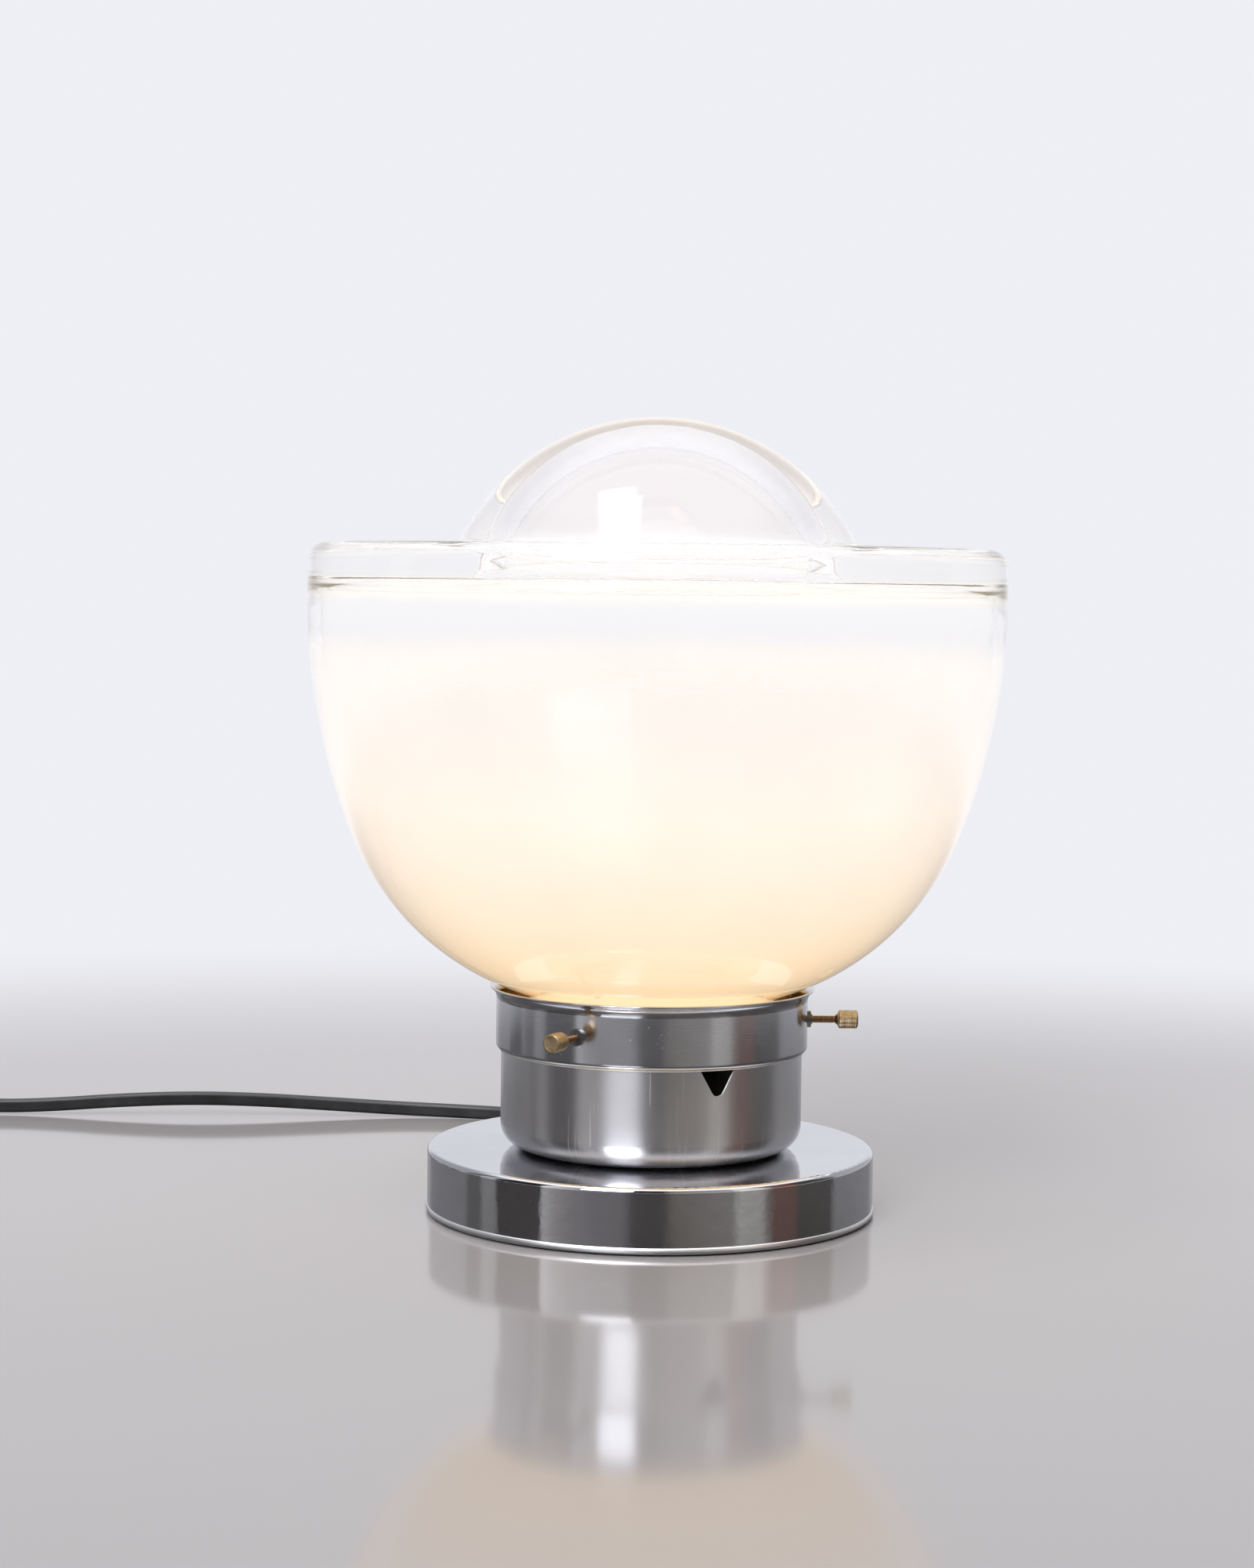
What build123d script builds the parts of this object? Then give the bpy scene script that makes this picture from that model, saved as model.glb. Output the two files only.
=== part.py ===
from build123d import *
import math
import os

# Art glass table lamp: chrome drum base, chrome canister, gallery with three thumb screws, blown glass shade.
# Millimetres, +Z up, origin at the middle of the felt under the base, the front of the lamp faces -Y.

# Base drum
base_radius = 86.0
base_height = 25.0
base_wall = 1.5
base_top_rounding = 2.0
base_foot_rounding = 2.0
hem_width = 3.5
hem_height = 2.5
felt_proud = 0.5
felt_thickness = 1.5
cover_thickness = 1.2
cover_gap = 0.15
ballast_thickness = 8.0
ballast_wall_gap = 6.5

# Central tube, nuts and washers
tube_radius = 5.0
tube_bore = 3.8
tube_hole_gap = 0.2
thread_gap = 0.05
tube_overhang = 1.5
nut_across_flats = 14.0
nut_thickness = 3.5
washer_radius = 12.0
washer_thickness = 1.5

# Canister between base and gallery
spacer_radius = 47.0
spacer_thickness = 0.5
canister_height = 37.5
canister_wall = 0.9
canister_floor_rounding = 9.0
notch_count = 3
notch_azimuth = 24.8
notch_half_width = 7.2
notch_apex_depth = 12.9
notch_tip_rounding = 2.75
notch_rim_rounding = 2.0

# Gallery cup that holds the shade
gallery_radius = 60.0
gallery_wall = 0.9
gallery_overhang = 2.0
gallery_floor_rounding = 2.0
gallery_straight_height = 19.6
flare_radius = 4.5
flare_angle = 66.0
rim_rounding = 0.4
gasket_thickness = 1.5
gasket_width = 9.0
seat_gap = 0.3

# Thumb screws and their bushes in the gallery wall
screw_count = 3
screw_azimuth = -27.8
screw_height_in_gallery = 11.5
screw_shank_radius = 1.45
screw_tip_gap = 0.3
screw_tip_chamfer = 0.5
screw_thread_showing = 12.1
screw_collar_radius = 2.3
screw_collar_length = 1.4
screw_head_radius = 3.5
screw_head_length = 7.5
screw_head_chamfer = 0.5
bush_gap = 0.1
bush_wall = 0.9
bush_flange_radius = 3.2
bush_flange_thickness = 1.4
bush_neck_length = 0.6
bush_neck_wall = 0.4
bush_lip_thickness = 0.8
bush_lip_radius = 3.0

# Glass shade
shade_neck_radius = 47.0
shade_neck_wall = 6.0
shade_wall = 5.0
shade_radius = 133.3
shade_rim_gap = 2.1
side_arc_radius = 247.0
side_arc_angle = 21.2
belly_arc_radius = 104.0
equator_band = 1.0
shoulder_rounding = 7.0
shoulder_thickness = 13.0
inner_shoulder_rounding = 6.0
dome_radius = 84.6
dome_rise = 49.0
dome_wall = 13.0
inner_dome_radius = 62.0
neck_lip_rounding = 2.0

# Lampholder
star_washer_thickness = 1.0
star_washer_radius = 9.0
holder_radius = 20.0
holder_cap_height = 21.1
holder_cap_floor = 4.0
holder_chamber_radius = 13.0
holder_seat_wall = 2.7
holder_skirt_height = 30.0
holder_skirt_wall = 4.0
holder_lip_radius = 14.6
holder_lip_thickness = 3.0
holder_rounding = 1.5
tube_in_holder = 8.0
insert_thickness = 6.0
insert_gap = 0.3
thread_shell_wall = 0.5
thread_shell_height = 26.0
bulb_gap = 0.3
centre_contact_radius = 4.0
centre_contact_thickness = 2.0
terminal_offset = 8.5
terminal_side = 6.0
terminal_height = 5.5
terminal_screw_head_radius = 2.6
terminal_screw_head_thickness = 1.8

# Bulb
bulb_cap_radius = 13.1
bulb_cap_wall = 0.5
bulb_cap_height = 24.0
bulb_insulator_height = 2.0
bulb_insulator_tip_radius = 6.0
bulb_contact_radius = 4.5
bulb_contact_thickness = 0.8
bulb_radius = 30.0
bulb_centre_above_cap = 52.0
bulb_glass_wall = 0.8
bulb_glass_in_cap = 6.0
bulb_neck_gap = 0.2
bulb_stem_radius = 4.0
bulb_stem_height = 46.0
filament_ring_radius = 11.0
filament_wire_radius = 0.6
filament_post_radius = 0.5
filament_post_height = 8.0

# Flat twin cord and the sleeve where it leaves the base
cord_width = 6.2
cord_thickness = 3.6
cord_exit_height = 11.0
relief_length = 24.0
relief_neck_radius = 5.8
relief_hole_gap = 0.2
relief_flange_radius = 7.2
relief_flange_thickness = 1.5
relief_root_radius = 6.2
relief_tip_radius = 4.4
lead_straight_run = 12.0
cord_inside_length = 32.0
clamp_thickness = 2.0
clamp_width = 10.0
clamp_foot = 7.0
clamp_from_wall = 22.5
clamp_screw_radius = 1.5
clamp_screw_head_radius = 2.8
clamp_screw_head_thickness = 1.6
clamp_screw_in_ballast = 5.0
core_radius = 1.1
core_spacing = 3.2
core_floor_height = 5.2
core_bend = 4.5
core_drop_start = 30.0
core_drop_end = 13.0
core_terminal_bend = 2.2

# Cord coil, put away beside the lamp
coil_centre = (-430.0, 153.0)
coil_radius = 40.3
coil_pitch = 4.4
coil_turns_in_layer = 2.5
coil_layer_height = 7.3
coil_reversal_dip = 5.0
tie_thickness = 0.8
tie_width = 9.0
tie_gap = 0.5
tail_level_run = 16.0
tail_length = 52.0
bend_share = 0.45
direction_step = 1e-4
straight_limit = 1e-9
gap_samples = 10
gap_apart = 6.0

# Switch in the cord
switch_length = 58.0
switch_width = 26.0
switch_lower_height = 6.5
switch_upper_height = 8.5
switch_corner = 10.0
switch_wall = 1.8
switch_edge_rounding = 1.5
switch_screw_offset = (19.0, 7.0)
switch_boss_radius = 3.6
switch_screw_radius = 1.5
switch_screw_head_radius = 2.6
switch_screw_head_thickness = 1.6
switch_screw_gap = 0.1
rocker_radius = 8.0
rocker_width = 10.4
rocker_gap = 0.4
rocker_throw = 16.0
rocker_pivot_below_top = 3.4
rocker_waist = 1.6
rocker_depth = 2.4
pivot_pin_radius = 1.0
pivot_pin_gap = 0.08
cheek_thickness = 2.0
contact_length = 12.0
contact_width = 4.0
contact_thickness = 0.8

# Two pin plug
plug_front_width = 35.3
plug_rear_width = 13.0
plug_thickness = 13.7
plug_front_depth = 12.0
plug_length = 36.0
plug_rounding = 3.0
pin_radius = 2.0
pin_length = 19.0
pin_spacing = 18.6

# Heights that follow from the sizes above
cover_bottom = felt_thickness
ballast_top = base_height - base_wall
ballast_bottom = ballast_top - ballast_thickness
foot_nut_top = ballast_bottom - washer_thickness
tube_bottom = foot_nut_top - nut_thickness - tube_overhang
canister_radius = gallery_radius - gallery_overhang
canister_bottom = base_height + spacer_thickness
canister_inside = canister_bottom + canister_wall
canister_rim = canister_bottom + canister_height
gallery_inside = canister_rim + gallery_wall
gallery_neck_top = canister_rim + gallery_straight_height
shade_seat = gallery_inside + gasket_thickness + seat_gap
flare_turn = math.radians(flare_angle)
gallery_rim_radius = gallery_radius + flare_radius * (1 - math.cos(flare_turn))
gallery_rim_top = gallery_neck_top + (flare_radius + gallery_wall) * math.sin(flare_turn)
side_turn = math.radians(side_arc_angle)
side_centre = shade_radius - side_arc_radius
belly_across = side_centre + (side_arc_radius - belly_arc_radius) * math.cos(side_turn)
belly_drop = math.sqrt(belly_arc_radius ** 2 - (gallery_rim_radius - belly_across) ** 2)
belly_height = gallery_rim_top + shade_rim_gap + belly_drop
shade_equator = belly_height + (side_arc_radius - belly_arc_radius) * math.sin(side_turn)
crown_bottom = shade_equator + equator_band / 2
shoulder_height = shade_equator + equator_band + inner_shoulder_rounding + shoulder_thickness
shade_top = shoulder_height + dome_rise
dome_centre = shade_top - dome_radius
inner_dome_centre = shade_top - dome_wall - inner_dome_radius
screw_height = canister_rim + screw_height_in_gallery
holder_bottom = gallery_inside + star_washer_thickness
holder_cap_top = holder_bottom + holder_cap_height
insert_bottom = holder_cap_top - insert_thickness
tube_top = holder_bottom + tube_in_holder
thread_shell_radius = bulb_cap_radius + bulb_gap
bulb_bottom = holder_cap_top + centre_contact_thickness + bulb_gap
bulb_cap_bottom = bulb_bottom + bulb_contact_thickness + bulb_insulator_height
bulb_cap_top = bulb_cap_bottom + bulb_cap_height
bulb_centre = bulb_cap_top + bulb_centre_above_cap
relief_end = base_radius + relief_length
clamp_from_axis = base_radius - base_wall - clamp_from_wall
switch_height = switch_lower_height + switch_upper_height
coil_layer_one = tie_thickness + tie_gap / 2 + cord_width / 2

os.makedirs("parts", exist_ok=True)

# Points of the cord from its sleeve to the switch, chosen by hand
lead_route = [
    (0.0, relief_end, cord_exit_height),
    (0.0, relief_end + lead_straight_run, cord_exit_height),
    (-2.0, 137.0, 9.0),
    (-8.0, 153.0, 6.0),
    (-20.0, 168.5, 3.9),
    (-38.0, 181.5, 3.25),
    (-60.0, 191.0, 3.2),
    (-86.0, 197.0, 3.3),
    (-113.0, 199.3, 3.9),
    (-143.0, 199.6, 5.4),
    (-174.0, 198.6, 7.1),
    (-205.0, 197.0, 7.8),
    (-237.0, 195.5, 6.6),
    (-267.0, 194.0, 4.4),
    (-293.0, 193.2, 3.6),
    (-314.0, 193.0, 5.2),
    (-330.0, 193.1, switch_lower_height),
    (-338.0, 193.1, switch_lower_height),
]


def ring(outer, inner, bottom, top):
    blank = Cylinder(outer, top - bottom, align=(Align.CENTER, Align.CENTER, Align.MIN))
    if inner > 0:
        blank -= Cylinder(inner, top - bottom, align=(Align.CENTER, Align.CENTER, Align.MIN))
    return Pos(0, 0, bottom) * blank


def rounded_face(corners):
    points = [(x, y) for x, y, rounding in corners]
    radii = [rounding for x, y, rounding in corners]
    return make_face(FilletPolyline(*points, radius=radii, close=True))


def turned(corners):
    return revolve(Plane.XZ * rounded_face(corners), Axis.Z)


def turned_along_x(corners):
    return Rot(0, 90, 0) * turned(corners)


def toward(azimuth):
    return Rot(0, 0, azimuth - 90)


def hex_nut(bottom):
    nut = extrude(RegularPolygon(nut_across_flats / 2, 6, major_radius=False), nut_thickness)
    nut -= Cylinder(tube_radius + thread_gap, 4 * nut_thickness)
    return Pos(0, 0, bottom) * nut


def washer(radius, bottom, thickness):
    return ring(radius, tube_radius + tube_hole_gap, bottom, bottom + thickness)


def save(name, *solids):
    shape = solids[0] if len(solids) == 1 else Compound(children=list(solids))
    export_step(shape, f"parts/{name}.step")


# Base drum, its ballast, cover and felt
def base_shell():
    inner = base_radius - base_wall
    hem_top = felt_proud + hem_height
    hole = tube_radius + tube_hole_gap
    drum = turned([
        (hole, base_height, 0),
        (base_radius, base_height, base_top_rounding),
        (base_radius, felt_proud, base_foot_rounding),
        (base_radius - hem_width, felt_proud, 0),
        (base_radius - hem_width, hem_top, 0),
        (inner, hem_top, 0),
        (inner, ballast_top, max(base_top_rounding - base_wall, base_wall / 2)),
        (hole, ballast_top, 0),
    ])
    bore = Cylinder(relief_neck_radius + relief_hole_gap, 4 * base_wall, rotation=(90, 0, 0))
    return drum - Pos(0, base_radius - base_wall / 2, cord_exit_height) * bore


def base_ballast():
    radius = base_radius - base_wall - ballast_wall_gap
    disc = washer(radius, ballast_bottom, ballast_thickness)
    for side in (-1, 1):
        hole = ring(clamp_screw_radius, 0, ballast_bottom, ballast_bottom + clamp_screw_in_ballast)
        disc -= Pos(side * clamp_screw_spacing(), clamp_from_axis, 0) * hole
    return disc


def base_cover():
    return ring(base_radius - hem_width - cover_gap, 0, cover_bottom, cover_bottom + cover_thickness)


def base_felt():
    return ring(base_radius - hem_width - cover_gap, 0, 0, felt_thickness)


# Central tube through base, canister and gallery
def threaded_tube():
    return ring(tube_radius, tube_bore, tube_bottom, tube_top)


# Canister with rounded floor edge and V notches in its rim
def canister():
    inner = canister_radius - canister_wall
    hole = tube_radius + tube_hole_gap
    can = turned([
        (hole, canister_bottom, 0),
        (canister_radius, canister_bottom, canister_floor_rounding),
        (canister_radius, canister_rim, 0),
        (inner, canister_rim, 0),
        (inner, canister_inside, canister_floor_rounding - canister_wall),
        (hole, canister_inside, 0),
    ])
    for index in range(notch_count):
        can -= toward(notch_azimuth + index * 360 / notch_count) * notch_cutter()
    return can


def notch_cutter():
    reach = notch_half_width + 2 * notch_rim_rounding
    face = rounded_face([
        (-reach, canister_rim, 0),
        (-notch_half_width, canister_rim, notch_rim_rounding),
        (0, canister_rim - notch_apex_depth, notch_tip_rounding),
        (notch_half_width, canister_rim, notch_rim_rounding),
        (reach, canister_rim, 0),
        (reach, canister_rim + notch_half_width, 0),
        (-reach, canister_rim + notch_half_width, 0),
    ])
    return extrude(Plane.YZ * face, canister_radius + gallery_wall)


# Gallery cup with flared rim
def gallery_cup():
    hole = tube_radius + tube_hole_gap
    inner = gallery_radius - gallery_wall
    middle = flare_turn / 2
    centre_x = gallery_radius + flare_radius

    def flare(radius, angle):
        return (centre_x - radius * math.cos(angle), gallery_neck_top + radius * math.sin(angle))

    wide = flare_radius + gallery_wall
    corner = gallery_radius - gallery_floor_rounding
    bend = gallery_floor_rounding
    bend_inner = bend - gallery_wall
    bend_centre = canister_rim + bend
    diagonal = math.sqrt(0.5)
    edges = [
        Line((hole, canister_rim), (corner, canister_rim)),
        ThreePointArc(
            (corner, canister_rim),
            (corner + bend * diagonal, bend_centre - bend * diagonal),
            (gallery_radius, bend_centre),
        ),
        Line((gallery_radius, bend_centre), (gallery_radius, gallery_neck_top)),
        ThreePointArc(
            (gallery_radius, gallery_neck_top), flare(flare_radius, middle), flare(flare_radius, flare_turn)
        ),
        Line(flare(flare_radius, flare_turn), flare(wide, flare_turn)),
        ThreePointArc(flare(wide, flare_turn), flare(wide, middle), (inner, gallery_neck_top)),
        Line((inner, gallery_neck_top), (inner, bend_centre)),
        ThreePointArc(
            (inner, bend_centre),
            (corner + bend_inner * diagonal, bend_centre - bend_inner * diagonal),
            (corner, gallery_inside),
        ),
        Line((corner, gallery_inside), (hole, gallery_inside)),
        Line((hole, gallery_inside), (hole, canister_rim)),
    ]
    cup = revolve(Plane.XZ * make_face(edges), Axis.Z)
    rim = cup.edges().filter_by(GeomType.CIRCLE).sort_by(lambda edge: edge.radius)[-2:]
    cup = fillet(rim, rim_rounding)
    hole_cutter = turned_along_x([
        (0, inner - bush_flange_radius, 0),
        (bush_stem_radius(), inner - bush_flange_radius, 0),
        (bush_stem_radius(), centre_x, 0),
        (0, centre_x, 0),
    ])
    for azimuth in screw_azimuths():
        cup -= toward(azimuth) * Pos(0, 0, screw_height) * hole_cutter
    return cup


def shade_gasket():
    outer = shade_neck_radius + (gasket_width - shade_neck_wall) / 2
    return ring(outer, outer - gasket_width, gallery_inside, gallery_inside + gasket_thickness)


# Thumb screws and bushes, drawn along +X and turned to their azimuths
def screw_azimuths():
    return [screw_azimuth + index * 360 / screw_count for index in range(screw_count)]


def bush_bore_radius():
    return screw_shank_radius + bush_gap


def bush_stem_radius():
    return bush_bore_radius() + bush_wall


def screw_bush(azimuth):
    bore = bush_bore_radius()
    wall_inside = gallery_radius - gallery_wall - bush_flange_radius ** 2 / gallery_radius
    flange_end = gallery_radius + bush_flange_thickness
    bush = turned_along_x([
        (bore, wall_inside - bush_lip_thickness, 0),
        (bush_lip_radius, wall_inside - bush_lip_thickness, 0),
        (bush_lip_radius, wall_inside, 0),
        (bush_stem_radius() - thread_gap, wall_inside, 0),
        (bush_stem_radius() - thread_gap, gallery_radius, 0),
        (bush_flange_radius, gallery_radius, 0),
        (bush_flange_radius, flange_end, 0),
        (bore + bush_neck_wall, flange_end, 0),
        (bore + bush_neck_wall, flange_end + bush_neck_length, 0),
        (bore, flange_end + bush_neck_length, 0),
    ])
    return toward(azimuth) * Pos(0, 0, screw_height) * bush


def thumb_screw(azimuth):
    tip = shade_neck_radius + screw_tip_gap
    head = gallery_radius + screw_thread_showing
    end = head + screw_head_length
    screw = turned_along_x([
        (0, tip, 0),
        (screw_shank_radius - screw_tip_chamfer, tip, 0),
        (screw_shank_radius, tip + screw_tip_chamfer, 0),
        (screw_shank_radius, head - screw_collar_length, 0),
        (screw_collar_radius, head, 0),
        (screw_head_radius - screw_head_chamfer, head, 0),
        (screw_head_radius, head + screw_head_chamfer, 0),
        (screw_head_radius, end - screw_head_chamfer, 0),
        (screw_head_radius - screw_head_chamfer, end, 0),
        (0, end, 0),
    ])
    return toward(azimuth) * Pos(0, 0, screw_height) * screw


# Glass shade: neck, belly arc, side arc, flat shoulder and thick dome
def shade_half_outline(inset, neck, shoulder, rounding, cap_radius, cap_centre):
    side = side_arc_radius - inset
    belly = belly_arc_radius - inset

    def on_side(angle):
        return (side_centre + side * math.cos(angle), shade_equator - side * math.sin(angle))

    def on_belly(angle):
        return (belly_across + belly * math.cos(angle), belly_height - belly * math.sin(angle))

    neck_angle = math.acos((neck - belly_across) / belly)
    foot = math.sqrt(cap_radius ** 2 - (shoulder - cap_centre) ** 2)
    half = math.asin(foot / cap_radius) / 2
    edge = shade_radius - inset
    diagonal = rounding * (1 - math.sqrt(0.5))
    return [
        Line((neck, shade_seat), on_belly(neck_angle)),
        ThreePointArc(on_belly(neck_angle), on_belly((neck_angle + side_turn) / 2), on_belly(side_turn)),
        ThreePointArc(on_side(side_turn), on_side(side_turn / 2), (edge, shade_equator)),
        Line((edge, shade_equator), (edge, shoulder - rounding)),
        ThreePointArc(
            (edge, shoulder - rounding), (edge - diagonal, shoulder - diagonal), (edge - rounding, shoulder)
        ),
        Line((edge - rounding, shoulder), (foot, shoulder)),
        ThreePointArc(
            (foot, shoulder),
            (cap_radius * math.sin(half), cap_centre + cap_radius * math.cos(half)),
            (0, cap_centre + cap_radius),
        ),
    ]


def blown_shade():
    outer = shade_half_outline(
        0.0, shade_neck_radius, shoulder_height, shoulder_rounding, dome_radius, dome_centre
    )
    neck_inside = shade_neck_radius - shade_neck_wall
    inner = shade_half_outline(
        shade_wall,
        neck_inside,
        shoulder_height - shoulder_thickness,
        inner_shoulder_rounding,
        inner_dome_radius,
        inner_dome_centre,
    )
    closing = [
        Line((0, dome_centre + dome_radius), (0, inner_dome_centre + inner_dome_radius)),
        Line((neck_inside, shade_seat), (shade_neck_radius, shade_seat)),
    ]
    shade = revolve(Plane.XZ * make_face(outer + inner + closing), Axis.Z)
    lip = shade.edges().filter_by(GeomType.CIRCLE).group_by(Axis.Z)[0]
    return fillet(lip, neck_lip_rounding)


# One blown piece, stored as three rings so that each has simple walls
def shade_ring(bottom, top):
    return blown_shade() & ring(2 * shade_radius, 0, bottom, top)


# Lampholder: cap, skirt, ceramic insert and contacts
def holder_cap():
    seat = holder_radius - holder_seat_wall
    inside = holder_bottom + holder_cap_floor
    return turned([
        (tube_radius + thread_gap, holder_bottom, 0),
        (holder_radius, holder_bottom, holder_rounding),
        (holder_radius, holder_cap_top, 0),
        (seat, holder_cap_top, 0),
        (seat, insert_bottom, 0),
        (holder_chamber_radius, insert_bottom, 0),
        (holder_chamber_radius, inside, 0),
        (tube_radius + thread_gap, inside, 0),
    ])


def holder_skirt():
    inner = holder_radius - holder_skirt_wall
    top = holder_cap_top + holder_skirt_height
    return turned([
        (inner, holder_cap_top, 0),
        (holder_radius, holder_cap_top, 0),
        (holder_radius, top, holder_rounding),
        (holder_lip_radius, top, 0),
        (holder_lip_radius, top - holder_lip_thickness, 0),
        (inner, top - holder_lip_thickness, 0),
    ])


def holder_insert():
    return ring(holder_radius - holder_seat_wall - insert_gap, 0, insert_bottom, holder_cap_top)


def thread_shell():
    outer = thread_shell_radius + thread_shell_wall
    return ring(outer, thread_shell_radius, holder_cap_top, holder_cap_top + thread_shell_height)


def centre_contact():
    return ring(centre_contact_radius, 0, holder_cap_top, holder_cap_top + centre_contact_thickness)


def terminal_post(side):
    block = Box(terminal_side, terminal_side, terminal_height, align=(Align.CENTER, Align.CENTER, Align.MAX))
    return Pos(side * terminal_offset, 0, insert_bottom) * block


def terminal_screw(side):
    head = ring(terminal_screw_head_radius, 0, -terminal_screw_head_thickness, 0)
    return Pos(side * terminal_offset, 0, insert_bottom - terminal_height) * head


# Bulb
def bulb_cap():
    inner = bulb_cap_radius - bulb_cap_wall
    return ring(bulb_cap_radius, inner, bulb_cap_bottom, bulb_cap_top)


def bulb_insulator():
    bottom = bulb_cap_bottom - bulb_insulator_height
    return turned([
        (0, bottom, 0),
        (bulb_insulator_tip_radius, bottom, 0),
        (bulb_cap_radius - bulb_cap_wall, bulb_cap_bottom, 0),
        (bulb_cap_radius - bulb_cap_wall, bulb_cap_bottom + bulb_insulator_height, 0),
        (0, bulb_cap_bottom + bulb_insulator_height, 0),
    ])


def bulb_contact():
    return ring(bulb_contact_radius, 0, bulb_bottom, bulb_bottom + bulb_contact_thickness)


def bulb_envelope():
    neck = bulb_cap_radius - bulb_cap_wall - bulb_neck_gap
    bottom = bulb_cap_top - bulb_glass_in_cap
    outer = bulb_half_outline(0.0, neck, bottom)
    inner = bulb_half_outline(bulb_glass_wall, neck - bulb_glass_wall, bottom)
    closing = [
        Line((0, bulb_centre + bulb_radius), (0, bulb_centre + bulb_radius - bulb_glass_wall)),
        Line((neck - bulb_glass_wall, bottom), (neck, bottom)),
    ]
    return revolve(Plane.XZ * make_face(outer + inner + closing), Axis.Z)


def bulb_half_outline(inset, neck, bottom):
    globe = bulb_radius - inset
    drop = bulb_centre - bulb_cap_top
    across = neck + inset
    fillet_radius = (across ** 2 + drop ** 2 - bulb_radius ** 2) / (2 * (bulb_radius - across))
    centre_x = across + fillet_radius
    reach = math.hypot(centre_x, drop)
    touch_angle = math.atan2(drop, centre_x)
    throat = fillet_radius + inset
    start_angle = math.pi
    end_angle = math.pi - touch_angle
    middle = (start_angle + end_angle) / 2

    def on_throat(angle):
        return (centre_x + throat * math.cos(angle), bulb_cap_top + throat * math.sin(angle))

    touch = (globe * centre_x / reach, bulb_centre - globe * drop / reach)
    side_angle = (math.pi / 2 - touch_angle) / 2
    return [
        Line((neck, bottom), (neck, bulb_cap_top)),
        ThreePointArc((neck, bulb_cap_top), on_throat(middle), touch),
        ThreePointArc(
            touch,
            (globe * math.cos(side_angle), bulb_centre + globe * math.sin(side_angle)),
            (0, bulb_centre + globe),
        ),
    ]


def bulb_stem():
    bottom = bulb_cap_bottom + bulb_insulator_height
    return ring(bulb_stem_radius, 0, bottom, bottom + bulb_stem_height)


def filament():
    bottom = bulb_cap_bottom + bulb_insulator_height + bulb_stem_height
    height = bottom + filament_post_height
    hoop = Pos(0, 0, height) * Torus(filament_ring_radius, filament_wire_radius)
    post = ring(filament_post_radius, 0, bottom, height)
    arm = Pos(0, 0, height) * Cylinder(filament_post_radius, 2 * filament_ring_radius, rotation=(0, 90, 0))
    return hoop + post + arm


# Cord sleeve, clamp and the cores inside the lamp
def cord_section(plane, gap=0.0):
    return plane * SlotOverall(cord_width + 2 * gap, cord_thickness + 2 * gap)


def cord_slot(start, end, gap=0.0):
    plane = Plane(origin=(0, start, cord_exit_height), x_dir=(0, 0, 1), z_dir=(0, 1, 0))
    return extrude(cord_section(plane, gap), end - start)


def cord_strain_relief():
    wall_inside = math.sqrt((base_radius - base_wall) ** 2 - relief_flange_radius ** 2)
    flange_end = base_radius + relief_flange_thickness
    sleeve = turned([
        (0, wall_inside - relief_flange_thickness, 0),
        (relief_flange_radius, wall_inside - relief_flange_thickness, 0),
        (relief_flange_radius, wall_inside, 0),
        (relief_neck_radius, wall_inside, 0),
        (relief_neck_radius, base_radius, 0),
        (relief_flange_radius, base_radius, 0),
        (relief_flange_radius, flange_end, 0),
        (relief_root_radius, flange_end, 0),
        (relief_tip_radius, relief_end, 0),
        (0, relief_end, 0),
    ])
    sleeve = Pos(0, 0, cord_exit_height) * Rot(-90, 0, 0) * sleeve
    return sleeve - cord_slot(cord_inner_end(), relief_end + cord_width, thread_gap)


def cord_inner_end():
    return base_radius - base_wall - cord_inside_length


def cord_inner():
    return cord_slot(cord_inner_end(), relief_end)


def clamp_screw_spacing():
    return cord_thickness / 2 + clamp_thickness + clamp_foot / 2


def cord_clamp():
    half = cord_thickness / 2
    cord_bottom = cord_exit_height - cord_width / 2
    foot_end = half + clamp_thickness + clamp_foot
    saddle = rounded_face([
        (-foot_end, ballast_bottom, 0),
        (-foot_end, ballast_bottom - clamp_thickness, 0),
        (-half - clamp_thickness, ballast_bottom - clamp_thickness, 0),
        (-half - clamp_thickness, cord_bottom - clamp_thickness, clamp_thickness / 2),
        (half + clamp_thickness, cord_bottom - clamp_thickness, clamp_thickness / 2),
        (half + clamp_thickness, ballast_bottom - clamp_thickness, 0),
        (foot_end, ballast_bottom - clamp_thickness, 0),
        (foot_end, ballast_bottom, 0),
        (half, ballast_bottom, 0),
        (half, cord_bottom, 0),
        (-half, cord_bottom, 0),
        (-half, ballast_bottom, 0),
    ])
    bar = extrude(Plane.XZ.offset(-clamp_from_axis) * saddle, clamp_width / 2, both=True)
    for side in (-1, 1):
        hole = Cylinder(clamp_screw_radius + thread_gap, 4 * clamp_thickness)
        bar -= Pos(side * clamp_screw_spacing(), clamp_from_axis, ballast_bottom) * hole
    return bar


def clamp_screw(side):
    bottom = ballast_bottom - clamp_thickness
    shank = ring(clamp_screw_radius, 0, bottom, ballast_bottom + clamp_screw_in_ballast)
    head = ring(clamp_screw_head_radius, 0, bottom - clamp_screw_head_thickness, bottom)
    return Pos(side * clamp_screw_spacing(), clamp_from_axis, 0) * (shank + head)


def inner_core(side):
    x = side * core_spacing / 2
    terminal_height_mid = insert_bottom - terminal_height / 2
    end_x = side * (terminal_offset - terminal_side / 2)
    path = FilletPolyline(
        (x, cord_inner_end(), cord_exit_height),
        (x, core_drop_start, cord_exit_height),
        (x, core_drop_end, core_floor_height),
        (x, 0, core_floor_height),
        (x, 0, terminal_height_mid),
        (end_x, 0, terminal_height_mid),
        radius=[core_bend, core_bend, core_bend, core_terminal_bend],
    )
    plane = Plane(origin=path @ 0, z_dir=path % 0)
    return sweep(plane * Circle(core_radius), path=path)


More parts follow.
